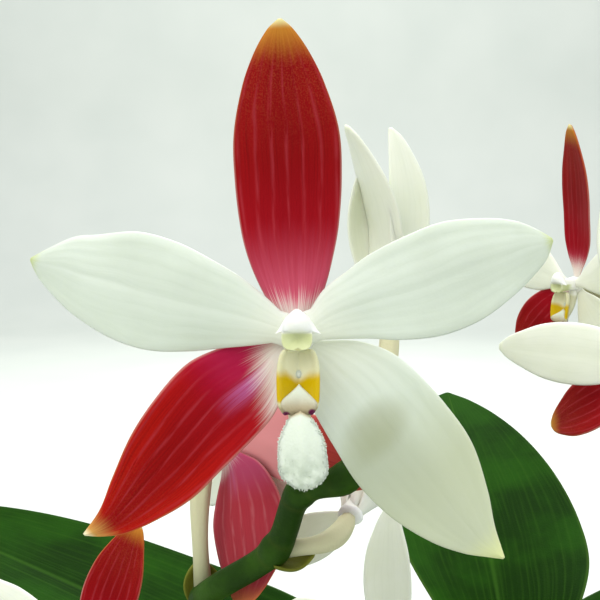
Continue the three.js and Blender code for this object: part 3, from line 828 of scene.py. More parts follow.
@dataclass(frozen=True)
class CrimsonTepal(Finish):
    """The finish of a crimson tepal: deep red with paler lines, fading at its base and tip."""

    name: str = "Crimson tepal"
    relief: tuple[float, float] = (0.00005, 0.6)
    flesh: Flesh = (0.6, 0.1, (1.0, 0.2, 0.15))
    specular: float = 0.05
    heart: str = "#84070c"
    flank: str = "#8f0a0e"
    deep: str = "#6a0408"
    line: str = "#b5424c"
    base: str = "#e3d9cf"
    blush: str = "#cc5a72"
    rim: str = "#bf6a3c"
    low_rim: str = "#cc8f88"
    glow: str = "#a20d20"
    tip: str = "#c2812c"
    point: str = "#dcd596"
    behind: str = "#ab4640"
    wash: str = "#ac1242"
    lilac: str = "#b86aa6"
    base_end: float = 0.26
    pale_start: float = 0.078
    pale_end: float = 0.187
    behind_share: float = 0.62
    tip_start: float = 0.85
    dust: float = 0.26
    streak_side: float = 0.0
    seed: float = 1.0

    def lay(self, n: Nodes, effects: Effects) -> Layers:
        """Lays streaks and lines on the red, then the blush, the pale base, the rim, the tip and the back.

        Args:
            n: The material's tree.
            effects: The shared node groups.

        Returns:
            The colour, roughness and height.
        """
        along, across, front = n.marks()
        lines = n.group(effects.lines, Along=along, Across=across, Count=6.7, Thin=3.6, Wander=0.13,
                        Seed=self.seed)
        streak = lines["Streak"]
        bounds = n.group(effects.bounds, Along=along, Across=across, Base_end=self.base_end,
                         Tip_start=self.tip_start, Rim_start=0.94, Uneven=0.06)
        tissue = n.group(effects.tissue, Place=n.place(), Cells_per_metre=3000.0, Mottle_per_metre=160.0)
        colour = n.mix(n.between(n.size(across), 0.1, 0.95), self.heart, self.flank)
        colour = n.tint(colour, self.deep, n.between(streak, 0.42, 0.72), 0.5)
        colour = n.tint(colour, self.deep, n.between(tissue["Mottle"], 0.45, 0.75), 0.22)
        colour = n.tint(colour, self.glow, n.fade(along, 0.25, 0.6), 0.55)
        fine = n.noise(n.place(), 6500.0, 2.0, 0.7)
        dust = n.times(n.between(fine, 0.4, 0.75), n.between(along, 0.5, 0.95))
        colour = n.tint(colour, self.rim, dust, self.dust)
        shown = n.times(n.between(along, 0.03, 0.22), n.fade(along, 0.8, 0.97))
        colour = n.tint(colour, self.line, n.times(lines["Line"], shown), 0.32)
        wash = n.times(bounds["Base"], n.lerp(streak, 0.7, 1.6), clamp=True)
        colour = n.mix(wash, colour, self.blush)
        if self.streak_side:
            colour = self.purple(n, colour, along, across, streak)
        slant = n.times(across, -0.09 * self.streak_side)
        ragged = n.times(n.minus(streak, 0.5), -0.2)
        place = n.plus(n.minus(along, slant), ragged)
        colour = n.mix(n.fade(place, self.pale_start, self.pale_end), colour, self.base)
        edge = n.mix(n.between(along, 0.45, 0.8), self.low_rim, self.rim)
        colour = n.tint(colour, edge, bounds["Rim"], 0.7)
        colour = n.mix(bounds["Tip"], colour, self.tip)
        colour = n.mix(n.between(along, 0.965, 1.0), colour, self.point)
        hidden = n.times(n.minus(1.0, front), self.behind_share, clamp=True)
        height = n.plus(n.times(tissue["Relief"], 0.25), n.times(streak, 0.4))
        return n.mix(hidden, colour, self.behind), n.lerp(tissue["Mottle"], 0.42, 0.56), height

    def purple(self, n: Nodes, colour: Value, along: Value, across: Value, streak: Value) -> Socket:
        """Lays a magenta wash over one side of the base and a lilac streak along its middle.

        Args:
            n: The material's tree.
            colour: The colour under the wash.
            along: Share of the way along.
            across: Place across, from -1 to 1.
            streak: Fine lengthwise streaks.

        Returns:
            The washed colour.
        """
        toward = n.times(across, self.streak_side)
        side = n.times(n.between(toward, -0.15, 0.25), n.fade(along, 0.2, 0.42))
        colour = n.tint(colour, self.wash, side, 0.85)
        reach = n.times(n.between(along, 0.08, 0.16), n.fade(along, 0.22, 0.4))
        band = n.times(n.between(toward, -0.5, -0.22), n.fade(toward, -0.1, 0.14))
        amount = n.times(n.times(reach, band), n.between(streak, 0.25, 0.6), clamp=True)
        return n.tint(colour, self.lilac, amount, 0.7)


@dataclass(frozen=True)
class WhiteTepal(Finish):
    """The finish of a white tepal: waxy, faintly green, with veins that barely show."""

    name: str = "White tepal"
    relief: tuple[float, float] = (0.00004, 0.5)
    flesh: Flesh = (1.1, 0.3, (1.0, 1.0, 0.75))
    specular: float = 0.25
    white: str = "#d2dacd"
    heart: str = "#cad2c4"
    vein: str = "#b4bfab"
    foot: str = "#ecede0"
    tip: str = "#b4bf76"
    fade: str = "#bcc2a5"
    # Painted shade: the colours of the shade spot and of the darker side on the shaded copy.
    shade: str = "#969a70"
    painted_side_shade: str = "#a5ac92"
    base_end: float = 0.3
    shade_strength: float = 0.0
    shade_along: float = 0.405
    shade_across: float = -0.25
    tip_start: float = 0.955
    seed: float = 4.0

    def lay(self, n: Nodes, effects: Effects) -> Layers:
        """Lays veins and a warm foot on the white, then, on the shaded copy, a greyer lower half with painted
        shade on it, and the tip.

        Args:
            n: The material's tree.
            effects: The shared node groups.

        Returns:
            The colour, roughness and height.
        """
        along, across, _ = n.marks()
        lines = n.group(effects.lines, Along=along, Across=across, Count=7.5, Thin=3.0, Wander=0.3,
                        Seed=self.seed)
        bounds = n.group(effects.bounds, Along=along, Across=across, Base_end=self.base_end,
                         Tip_start=self.tip_start, Rim_start=0.9, Uneven=0.05)
        tissue = n.group(effects.tissue, Place=n.place(), Cells_per_metre=3200.0, Mottle_per_metre=110.0)
        mottle = tissue["Mottle"]
        colour = n.mix(n.between(mottle, 0.35, 0.7), self.white, self.heart)
        colour = n.tint(colour, self.heart, n.fade(n.size(across), 0.0, 0.5), 0.35)
        colour = n.tint(colour, self.vein, lines["Line"], 0.12)
        colour = n.tint(colour, self.vein, n.between(lines["Streak"], 0.45, 0.75), 0.1)
        colour = n.tint(colour, self.foot, bounds["Base"], 0.6)
        # The shaded copy: a greyer yellow-green over the lower half, then painted shade.
        if self.shade_strength:
            colour = n.tint(colour, self.fade, n.between(along, 0.3, 0.7), 0.9)
            # Painted shade over one side of the lower half.
            lower = n.times(n.between(along, 0.38, 0.47), n.fade(across, -0.2, 0.6))
            fading = n.lerp(n.between(along, 0.48, 0.85), 0.6, 0.25)
            colour = n.tint(colour, self.painted_side_shade, lower, fading)
            # A soft painted shade spot across the sepal, broken up by the mottle.
            far = n.times(n.minus(along, self.shade_along), 10.0)
            wide = n.times(n.minus(across, self.shade_across), 1.15)
            cloud = n.fade(n.plus(n.times(far, far), n.times(wide, wide)), -0.3, 1.1)
            broken = n.times(cloud, n.lerp(mottle, 0.7, 1.2), clamp=True)
            colour = n.tint(colour, self.shade, broken, self.shade_strength)
        colour = n.tint(colour, self.tip, bounds["Tip"], 0.85)
        height = n.plus(n.times(tissue["Relief"], 0.2), n.times(lines["Streak"], 0.35))
        return colour, n.lerp(mottle, 0.34, 0.5), height


@dataclass(frozen=True)
class ColumnFlesh(Finish):
    """The finish of the column: a bright white cap over a hollow of pale yellow green."""

    name: str = "Column flesh"
    relief: tuple[float, float] = (0.00003, 0.4)
    flesh: Flesh = (0.9, 0.3, (1.0, 1.0, 0.7))
    white: str = "#fbfcf4"
    hollow: str = "#cdd39d"
    notch_shade_colour: str = "#8f8a55"
    foot: str = "#d9d9bd"

    def lay(self, n: Nodes, effects: Effects) -> Layers:
        """Lays the hollow, the foot and a painted shade of the cleft under the stigma; the marks are the
        bloom's own coordinates in millimetres.

        Args:
            n: The material's tree.
            effects: The shared node groups.

        Returns:
            The colour, roughness and height.
        """
        u, v, w = n.marks()
        tissue = n.group(effects.tissue, Place=n.place(), Cells_per_metre=4200.0, Mottle_per_metre=500.0)
        inside = n.times(n.fade(v, 0.15, 0.5), n.fade(n.size(u), 1.25, 1.75))
        colour = n.mix(n.times(inside, n.between(w, 1.0, 2.6)), self.white, self.hollow)
        colour = n.tint(colour, self.foot, n.between(tissue["Mottle"], 0.4, 0.75), 0.2)
        colour = n.mix(n.fade(v, -2.4, -1.6), colour, self.foot)
        # Painted shade: a dark inverted V on the shaft's face, where the cleft below the stigma lies in shadow.
        aside = n.size(n.times(n.minus(u, 0.1), 0.8))
        notch_shade_mask = n.fade(n.plus(aside, n.size(n.times(n.plus(v, 1.15), 1.7))), 0.1, 0.42)
        colour = n.tint(colour, self.notch_shade_colour, n.times(notch_shade_mask, n.between(w, 2.0, 2.6)), 0.8)
        return colour, n.lerp(tissue["Mottle"], 0.3, 0.42), tissue["Relief"]


def lip_spots(n: Nodes, u: Value, v: Value) -> Socket:
    """Masks the two round spots low on the lip.

    Args:
        n: The material's tree.
        u: Place to the right, in millimetres.
        v: Place up, in millimetres.

    Returns:
        The mask.
    """
    masks = []
    for at_u, at_v in LIP_SPOTS:
        across = n.maths("POWER", n.size(n.minus(u, at_u)), 2.0)
        down = n.maths("POWER", n.size(n.minus(v, at_v)), 2.0)
        masks.append(n.fade(n.plus(across, down), 0.04, 0.2))
    return n.maths("MAXIMUM", *masks)


@dataclass(frozen=True)
class LipFlesh(Finish):
    """The finish of the lip's side lobes: cream with a yellow band, a beige foot and purple spots."""

    name: str = "Lip flesh"
    relief: tuple[float, float] = (0.00003, 0.5)
    flesh: Flesh = (0.6, 0.2, (1.0, 0.9, 0.5))
    specular: float = 0.2
    cream: str = "#e4e2c2"
    edge: str = "#d2cfa6"
    yellow: str = "#caa900"
    beige: str = "#b1a480"
    purple: str = LIP_PURPLE

    def lay(self, n: Nodes, effects: Effects) -> Layers:
        """Lays the band, the foot and the spots; the marks are the bloom's own coordinates in millimetres.

        Args:
            n: The material's tree.
            effects: The shared node groups.

        Returns:
            The colour, roughness and height.
        """
        u, v, w = n.marks()
        tissue = n.group(effects.tissue, Place=n.place(), Cells_per_metre=5000.0, Mottle_per_metre=700.0)
        uneven = n.times(n.minus(tissue["Mottle"], 0.5), 0.5)
        depth = n.times(n.plus(v, uneven), -1.0)
        colour = n.mix(n.between(w, 2.6, 3.4), self.cream, self.edge)
        aside = n.between(n.size(n.minus(u, 0.12)), 0.15, 1.2)
        upper = n.between(n.plus(depth, n.times(aside, 0.65)), 3.6, 4.6)
        colour = n.mix(n.times(upper, n.fade(depth, 5.85, 6.3)), colour, self.yellow)
        colour = n.mix(n.between(depth, 6.1, 6.7), colour, self.beige)
        colour = n.mix(lip_spots(n, u, v), colour, self.purple)
        return colour, n.lerp(tissue["Mottle"], 0.3, 0.45), tissue["Relief"]


@dataclass(frozen=True)
class LipNap(Finish):
    """The finish of the callus and the midlobe: white with painted greenish shade low down, and a beige foot on
    the callus that is partly painted shade.
    """

    name: str = "Lip nap"
    relief: tuple[float, float] = (0.00005, 0.5)
    flesh: Flesh = (1.0, 0.35, (1.0, 1.0, 0.8))
    specular: float = 0.2
    white: str = "#d8e0d0"
    low: str = "#c2ccba"
    beige: str = "#b8ab8c"
    purple: str = LIP_PURPLE

    def lay(self, n: Nodes, effects: Effects) -> Layers:
        """Lays the painted shade, a beige foot that is partly painted shade, and the spots; the marks are the
        bloom's own coordinates.

        Args:
            n: The material's tree.
            effects: The shared node groups.

        Returns:
            The colour, roughness and height.
        """
        u, v, w = n.marks()
        tissue = n.group(effects.tissue, Place=n.place(), Cells_per_metre=4500.0, Mottle_per_metre=900.0)
        depth = n.times(v, -1.0)
        # Painted shade: the midlobe's lower part goes greyer green in mottled patches.
        shade = n.times(n.between(depth, 9.0, 12.5), n.between(tissue["Mottle"], 0.35, 0.6))
        colour = n.mix(shade, self.white, self.low)
        # The callus's beige foot, partly its own tone and partly painted shade: it fades out on the surfaces
        # that stand furthest forward.
        under = n.times(n.between(depth, 4.9, 6.7), n.fade(depth, 7.2, 7.6))
        colour = n.tint(colour, self.beige, under, n.fade(w, 3.85, 4.35))
        colour = n.mix(lip_spots(n, u, v), colour, self.purple)
        return colour, n.lerp(tissue["Mottle"], 0.5, 0.75), tissue["Relief"]


@dataclass(frozen=True)
class GreenStalk(Finish):
    """The finish of the spikes and the stem: green, going cream towards a bloom."""

    name: str = "Green stalk"
    relief: tuple[float, float] = (0.00008, 0.6)
    flesh: Flesh = (0.8, 0.08, (0.6, 1.0, 0.3))
    specular: float = 0.1
    green: str = "#1c3705"
    light: str = "#2d4d0c"
    cream: str = "#cdc9a4"
    scar: str = "#7c7c2c"

    def lay(self, n: Nodes, effects: Effects) -> Layers:
        """Lays the greens, cream and scars; the marks are the shares along, of cream and of scar.

        Args:
            n: The material's tree.
            effects: The shared node groups.

        Returns:
            The colour, roughness and height.
        """
        _, pale, scar = n.marks()
        place = n.place()
        tissue = n.group(effects.tissue, Place=place, Cells_per_metre=2600.0, Mottle_per_metre=180.0)
        fine = n.noise(place, 1400.0, 3.0, 0.65)
        colour = n.mix(n.between(tissue["Mottle"], 0.36, 0.7), self.green, self.light)
        colour = n.tint(colour, self.light, n.between(fine, 0.55, 0.75), 0.3)
        colour = n.mix(pale, colour, self.cream)
        colour = n.mix(scar, colour, self.scar)
        return colour, n.lerp(fine, 0.42, 0.62), n.plus(n.times(tissue["Relief"], 0.4), fine)


@dataclass(frozen=True)
class LeafSkin(Finish):
    """The finish of a leaf: deep waxy green, with a paler midrib, rim and underside."""

    name: str = "Leaf skin"
    relief: tuple[float, float] = (0.00012, 0.6)
    flesh: Flesh = (1.0, 0.03, (0.5, 1.0, 0.2))
    specular: float = 0.1
    ior: float = 1.2
    green: str = "#1b4206"
    deep: str = "#0e2a01"
    vein: str = "#2e5312"
    rim: str = "#466526"
    under: str = "#3a5f22"

    def lay(self, n: Nodes, effects: Effects) -> Layers:
        """Lays veins, the midrib, the base and the rim on the green, then the underside.

        Args:
            n: The material's tree.
            effects: The shared node groups.

        Returns:
            The colour, roughness and height.
        """
        along, across, front = n.marks()
        lines = n.group(effects.lines, Along=along, Across=across, Count=21.0, Thin=2.0, Wander=0.08, Seed=9.0)
        bounds = n.group(effects.bounds, Along=along, Across=across, Base_end=0.22, Tip_start=0.97,
                         Rim_start=0.965, Uneven=0.04)
        tissue = n.group(effects.tissue, Place=n.place(), Cells_per_metre=1500.0, Mottle_per_metre=45.0)
        colour = n.mix(n.between(tissue["Mottle"], 0.34, 0.68), self.deep, self.green)
        colour = n.tint(colour, self.vein, lines["Line"], 0.2)
        colour = n.tint(colour, self.vein, n.between(lines["Streak"], 0.5, 0.75), 0.22)
        colour = n.tint(colour, self.vein, n.fade(n.size(across), 0.008, 0.055), 0.5)
        colour = n.tint(colour, self.rim, bounds["Base"], 0.5)
        colour = n.tint(colour, self.rim, bounds["Rim"], 0.55)
        colour = n.mix(n.times(n.minus(1.0, front), 0.8, clamp=True), colour, self.under)
        height = n.plus(n.times(tissue["Relief"], 0.35), n.times(lines["Streak"], 0.9))
        return colour, n.lerp(tissue["Mottle"], 0.5, 0.65), height


@dataclass(frozen=True)
class RootSheath(Finish):
    """The finish of a root: a silvery, spongy sheath that shows green where it is damp or growing."""

    name: str = "Root sheath"
    relief: tuple[float, float] = (0.00018, 0.7)
    silver: str = "#b7bda6"
    damp: str = "#7d8f63"
    chalk: str = "#d8dbc9"
    growing: str = "#6f9a33"

    def lay(self, n: Nodes, effects: Effects) -> Layers:
        """Lays damp and chalky patches and the tip; the marks are the shares along and of growing tip.

        Args:
            n: The material's tree.
            effects: The shared node groups.

        Returns:
            The colour, roughness and height.
        """
        _, growing, _ = n.marks()
        place = n.place()
        tissue = n.group(effects.tissue, Place=place, Cells_per_metre=1800.0, Mottle_per_metre=260.0)
        fine = n.noise(place, 2200.0, 3.0, 0.7)
        colour = n.mix(n.between(tissue["Mottle"], 0.4, 0.66), self.silver, self.damp)
        colour = n.tint(colour, self.chalk, n.between(fine, 0.5, 0.72), 0.35)
        return n.mix(growing, colour, self.growing), n.lerp(growing, 0.85, 0.35), n.plus(fine, tissue["Relief"])


@dataclass(frozen=True)
class BarkWood(Finish):
    """The finish of the bark: brown chips of many tones, with grain and dusty faces."""

    name: str = "Bark wood"
    relief: tuple[float, float] = (0.0006, 0.9)
    dark: str = "#33200f"
    brown: str = "#6b4425"
    red: str = "#8a5530"
    dust: str = "#b39a78"

    def lay(self, n: Nodes, effects: Effects) -> Layers:
        """Lays grain and dust; the marks are the tone of the chip and two of its own directions.

        Args:
            n: The material's tree.
            effects: The shared node groups.

        Returns:
            The colour, roughness and height.
        """
        tone, run, layer = n.marks()
        place = n.place()
        grain = n.noise(n.vector(n.times(run, 0.12), n.times(layer, 1.6), tone), 1.0, 5.0, 0.65)
        pits = n.noise(place, 700.0, 5.0, 0.7)
        tissue = n.group(effects.tissue, Place=place, Cells_per_metre=420.0, Mottle_per_metre=300.0)
        colour = n.mix(tone, self.brown, self.red)
        colour = n.mix(n.between(grain, 0.38, 0.66), colour, self.dark)
        colour = n.tint(colour, self.dust, n.between(pits, 0.56, 0.74), 0.45)
        height = n.plus(n.times(grain, 1.4), n.times(tissue["Relief"], 0.5))
        return colour, n.lerp(pits, 0.75, 0.98), n.plus(height, pits)


@dataclass(frozen=True)
class BlackPlastic(Finish):
    """The finish of the pot: moulded black plastic, a little dusty and scuffed at its collar and foot."""

    name: str = "Black plastic"
    relief: tuple[float, float] = (0.00005, 0.5)
    black: str = "#15171a"
    scuff: str = "#3b3d3c"
    dust: str = "#6d6a60"

    def lay(self, n: Nodes, effects: Effects) -> Layers:
        """Lays scuffs, and dust on the collar and the foot, by the height in metres.

        Args:
            n: The material's tree.
            effects: The shared node groups.

        Returns:
            The colour, roughness and height.
        """
        place = n.place()
        _, _, z = n.split(place)
        tissue = n.group(effects.tissue, Place=place, Cells_per_metre=1600.0, Mottle_per_metre=60.0)
        scratches = n.noise(n.vector(n.times(z, 6.0), place, 0.0), 90.0, 4.0, 0.7)
        fine = n.noise(place, 900.0, 4.0, 0.7)
        worn = n.times(n.between(fine, 0.55, 0.75), n.between(tissue["Mottle"], 0.4, 0.65))
        colour = n.tint(self.black, self.scuff, worn, 0.6)
        ends = n.maths("MAXIMUM", n.between(z, 0.074, 0.093), n.fade(z, 0.0, 0.012))
        dusty = n.times(ends, n.between(scratches, 0.45, 0.7))
        colour = n.tint(colour, self.dust, dusty, 0.45)
        return colour, n.lerp(n.maths("MAXIMUM", worn, dusty), 0.36, 0.7), n.plus(tissue["Relief"], fine)


@dataclass
class Palette:
    """Every material of the plant, written once."""

    effects: Effects = field(default_factory=Effects)

    def __post_init__(self) -> None:
        """Writes the materials."""
        fx = self.effects
        self.crimson = CrimsonTepal().material(fx)
        self.dorsal = CrimsonTepal(name="Crimson dorsal", base_end=0.39, pale_start=0.05, pale_end=0.15,
                                   seed=2.0).material(fx)
        self.blushed = CrimsonTepal(name="Crimson blushed", heart="#88080a", flank="#ab130a", tip="#cfa053",
                                    point="#ece6bd", tip_start=0.89, dust=0.1, base_end=0.34, pale_start=0.1,
                                    pale_end=0.24, streak_side=-1.0, seed=3.0).material(fx)
        self.rosy = CrimsonTepal(name="Rosy tepal", heart="#9c2029", flank="#a0252f", line="#cf8f92",
                                 blush="#b66092", behind="#b04653", behind_share=0.4, base_end=0.3,
                                 wash="#a03c66", lilac="#b0608f", streak_side=-1.0, seed=5.0).material(fx)
        self.pink = CrimsonTepal(name="Pink tepal", heart="#b03a30", flank="#b24034", base="#e79e9f",
                                 blush="#df8689", behind="#ab4446", behind_share=0.3, base_end=0.62,
                                 pale_start=0.42, pale_end=0.7, seed=7.0).material(fx)
        self.white = WhiteTepal().material(fx)
        # A lighter copy of the white tepal finish for the other blooms: painted light that lifts their whites
        # out of the shade they stand in.
        self.brightened_white = WhiteTepal(name="White brightened", white="#e6e9da", heart="#dfe3d1", vein="#cbd1bb",
                                    tip="#e3e7cf", seed=8.0).material(fx)
        self.shaded = WhiteTepal(name="White shaded", tip="#d3d898", tip_start=0.87, base_end=0.42,
                                 shade_strength=0.7, seed=6.0).material(fx)
        self.column = ColumnFlesh().material(fx)
        self.lip = LipFlesh().material(fx)
        self.nap = LipNap().material(fx)
        self.stalk = GreenStalk().material(fx)
        self.leaf = LeafSkin().material(fx)
        self.root = RootSheath().material(fx)
        self.bark = BarkWood().material(fx)
        self.plastic = BlackPlastic().material(fx)


# Pot and bark


@dataclass
class Pot:
    """A plain round nursery pot with a stepped collar and drain holes."""

    height: float = 92.0
    foot_radius: float = 42.0
    wall_top_radius: float = 55.0
    collar_radius: float = 58.5
    collar_height: float = 12.0
    wall: float = 1.8
    drain_count: int = 8
    drain_radius: float = 4.2
    drain_ring: float = 29.0
    sides: int = 144
    sharp_angle: float = 42.0

    def collar_foot(self) -> float:
        """The height at which the collar starts."""
        return self.height - self.collar_height

    def inner_radius(self, z: float) -> float:
        """The inside radius of the tapered wall at a height."""
        grow = (self.wall_top_radius - self.foot_radius) / self.collar_foot()
        return self.foot_radius + grow * z - self.wall

    def profile(self) -> list[tuple[float, float]]:
        """Draws the section from the middle of the underside, up the outside and down the inside.

        Returns:
            Its (radius, height) points.
        """
        foot = self.collar_foot()
        outline = [
            (0, 0, 0),
            (self.foot_radius - 0.6, 0, 0.5),
            (self.foot_radius + 0.05, 1, 0.5),
            (self.wall_top_radius, foot, 0.35),
            (self.collar_radius - 0.8, foot, 0.5),
            (self.collar_radius, self.height - 0.4, 0.4),
            (self.collar_radius - 0.9, self.height, 0.4),
            (self.collar_radius - self.wall, self.height, 0.3),
            (self.collar_radius - self.wall - 1.2, foot + self.wall, 0.6),
            (self.inner_radius(foot), foot + self.wall - 0.6, 0.6),
            (self.inner_radius(self.wall), self.wall, 0.9),
            (0, self.wall, 0),
        ]
        return rounded(outline)

    def build(self, palette: Palette) -> bpy.types.Object:
        """Builds the shell and cuts the drain holes.

        Args:
            palette: The finishes.

        Returns:
            The piece.
        """
        shell = write_mesh("pot_shell", [turned(self.profile(), self.sides)], [palette.plastic])
        cutters = []
        for k in range(self.drain_count):
            angle = 2 * math.pi * k / self.drain_count
            middle = np.array([self.drain_ring * math.cos(angle), self.drain_ring * math.sin(angle), 0])
            line = middle + np.linspace(-4, 5, 4)[:, None] * np.array([0, 0, 1])
            cutters.append(tube(line, np.full(4, self.drain_radius), 40))
        plugs = write_mesh("drain_plugs", cutters, [palette.plastic])
        cut = shell.modifiers.new("drain", "BOOLEAN")
        cut.operation = "DIFFERENCE"
        cut.solver = "EXACT"
        cut.object = plugs
        apply_modifiers(shell)
        bpy.data.objects.remove(plugs)
        shell.data.set_sharp_from_angle(angle=math.radians(self.sharp_angle))
        return seat(shell, Slot.POT, "pot")


def apply_modifiers(piece: bpy.types.Object) -> None:
    """Swaps a piece's mesh for the mesh that its modifiers give.

    Args:
        piece: The piece.
    """
    bpy.context.view_layer.update()
    evaluated = piece.evaluated_get(bpy.context.evaluated_depsgraph_get())
    mesh = bpy.data.meshes.new_from_object(evaluated)
    piece.modifiers.clear()
    old = piece.data
    piece.data = mesh
    bpy.data.meshes.remove(old)


@dataclass
class BarkBed:
    """The potting mix: a bed that fills the pot under a loose layer of bark chips."""

    pot: Pot
    top: float = 79.0
    chips: int = 460
    length: float = 11.5
    width: float = 7.5
    thickness: float = 4.2
    bare_middle: float = 8.0
    sharp_angle: float = 38.0
    seed: int = 7

    def template(self) -> tuple[np.ndarray, np.ndarray]:
        """A unit box with 3 by 3 faces a side, its corners drawn in towards a ball.

        Returns:
            Its corners, about 1 from side to side, and its four-sided faces.
        """
        steps = np.linspace(-1, 1, 4)
        a, b = np.meshgrid(steps, steps, indexing="ij")
        one = np.ones_like(a)
        sides = [(one, a, b), (-one, b, a), (b, one, a), (a, -one, b), (a, b, one), (b, a, -one)]
        corners = np.concatenate([np.stack(side, axis=-1).reshape(-1, 3) for side in sides])
        faces = np.concatenate([grid_quads(np.arange(16).reshape(4, 4) + 16 * k) for k in range(6)])
        places, index = np.unique(np.round(corners, 6), axis=0, return_inverse=True)
        ball = unit(places)
        return (0.72 * places + 0.28 * ball * 1.25) / 2, index.ravel()[faces]

    def scatter(self) -> Skin:
        """Scatters chips over the bed.

        Chip k lies on a sunflower spiral, at the square root of its share of the count from the middle and
        one golden angle on from the last. Each is stretched, roughened and turned by seeded draws.

        Returns:
            All chips as one surface.
        """
        draw = np.random.default_rng(self.seed)
        corners, faces = self.template()
        n = self.chips
        size = np.stack([
            self.length * draw.uniform(0.55, 1.3, n),
            self.width * draw.uniform(0.55, 1.2, n),
            self.thickness * draw.uniform(0.6, 1.4, n),
        ], axis=1)
        rough = 1 + draw.uniform(-0.13, 0.13, (n, len(corners), 3))
        shaped = corners[None] * rough * size[:, None]
        shaped[..., 1] *= 1 - draw.uniform(0, 0.5, n)[:, None] * (shaped[..., 0] / size[:, :1] + 0.5)
        spin, tip, bank = draw.uniform(0, 2 * math.pi, n), draw.normal(0, 0.28, n), draw.normal(0, 0.34, n)
        turn = self.turns(spin, 2) @ self.turns(tip, 1) @ self.turns(bank, 0)
        level = (np.arange(n) + 0.5) / n
        reach = self.pot.inner_radius(self.top) - 2.5 - 0.25 * self.length
        ring = reach * np.sqrt(level)
        angle = np.arange(n) * GOLDEN_ANGLE
        clear = ring > self.bare_middle
        height = self.top + draw.uniform(-3.0, 2.2, n) - 0.8 * (ring / reach) ** 2
        middle = np.stack([ring * np.cos(angle), ring * np.sin(angle), height], axis=1)
        placed = np.einsum("nij,nkj->nki", turn, shaped) + middle[:, None]
        placed, local = placed[clear], shaped[clear]
        tone = np.repeat(draw.uniform(0, 1, n)[clear][:, None], len(corners), axis=1)
        marks = np.stack([tone, local[..., 0] + 40 * tone, local[..., 2] + 31 * tone], axis=-1)
        starts = np.arange(len(placed))[:, None, None] * len(corners)
        quads = (faces[None] + starts).reshape(-1, 4)
        radius = np.hypot(placed[..., 0], placed[..., 1])
        limit = self.pot.inner_radius(self.top) - 0.6
        pull = np.minimum(1, limit / np.maximum(radius, 1e-6))
        placed[..., :2] *= pull[..., None]
        return Skin(placed.reshape(-1, 3), quads, NO_TRIANGLES, marks.reshape(-1, 3)).outward()

    @staticmethod
    def turns(angle: np.ndarray, axis: int) -> np.ndarray:
        """Makes turns about one axis.

        Args:
            angle: (n,) angles in radians.
            axis: 0, 1 or 2 for X, Y or Z.

        Returns:
            An (n, 3, 3) array.
        """
        first, second = (axis + 1) % 3, (axis + 2) % 3
        made = np.tile(np.eye(3), (len(angle), 1, 1))
        made[:, first, first] = made[:, second, second] = np.cos(angle)
        made[:, second, first] = np.sin(angle)
        made[:, first, second] = -made[:, second, first]
        return made

    def build(self, palette: Palette) -> bpy.types.Object:
        """Builds the bed and its chips.

        Args:
            palette: The finishes.

        Returns:
            The piece.
        """
        foot = self.pot.wall + 0.35
        gap = 0.6
        bed = turned([
            (0, foot),
            (self.pot.inner_radius(foot) - gap, foot),
            (self.pot.inner_radius(self.top - 4) - gap, self.top - 4),
            (self.pot.inner_radius(self.top - 4) - 6, self.top - 2.6),
            (0, self.top - 2),
        ], 72)
        bed.marks = np.stack([np.full(len(bed.points), 0.2), bed.points[:, 0], bed.points[:, 1]], axis=1)
        piece = write_mesh("bark_bed", [bed, self.scatter()], [palette.bark])
        piece.data.set_sharp_from_angle(angle=math.radians(self.sharp_angle))
        return seat(piece, Slot.BARK, "potting_bark")


# Stem base, roots and leaves


@dataclass
class Crown:
    """The short stem that the leaves clasp, ringed by old leaf scars."""

    bottom: float = 58.0
    top: float = 107.0
    along_fan: float = 10.5
    across_fan: float = 7.0
    fan_angle: float = 118.0
    scars: int = 7
    rings: int = 140
    sides: int = 72

    def radius_toward(self, angle: float) -> float:
        """The stem's radius in a compass direction, given in radians."""
        turn = angle - math.radians(self.fan_angle)
        return 1 / math.hypot(math.cos(turn) / self.along_fan, math.sin(turn) / self.across_fan)

    def build(self, palette: Palette) -> bpy.types.Object:
        """Builds the stem base.

        Its rings are ellipses whose size follows the height, times one plus a saw of small ridges at the
        scars.

        Args:
            palette: The finishes.

        Returns:
            The piece.
        """
        share = np.linspace(0, 1, self.rings)
        around = circle(self.sides)
        size = through([(0, 0.55), (0.35, 0.8), (0.6, 1), (0.85, 0.86), (0.96, 0.5), (1, 0.2)], share)
        phase = share * self.scars
        ridge = 0.05 * np.cos(2 * math.pi * phase) + 0.035 * (phase % 1) ** 3
        wobble = 0.015 * np.sin(3 * around[None] + 9 * share[:, None])
        grow = size[:, None] * (1 + ridge[:, None] + wobble)
        x = grow * self.along_fan * np.cos(around)
        y = grow * self.across_fan * np.sin(around)
        fan = math.radians(self.fan_angle)
        z = np.repeat((self.bottom + (self.top - self.bottom) * share)[:, None], self.sides, axis=1)
        east, north = x * math.cos(fan) - y * math.sin(fan), x * math.sin(fan) + y * math.cos(fan)
        rings = np.stack([east, north, z], axis=-1)
        scar = np.clip(1 - np.abs(phase % 1 - 0.06) / 0.12, 0, 1) * 0.8
        pale = through([(0, 0.35), (0.5, 0.15), (1, 0.05)], share)
        marks = np.stack([share, pale, scar], axis=-1)
        skin = capped_rings(rings, np.repeat(marks[:, None], self.sides, axis=1))
        return seat(write_mesh("crown_stem", [skin], [palette.stalk]), Slot.STEM, "stem_base")


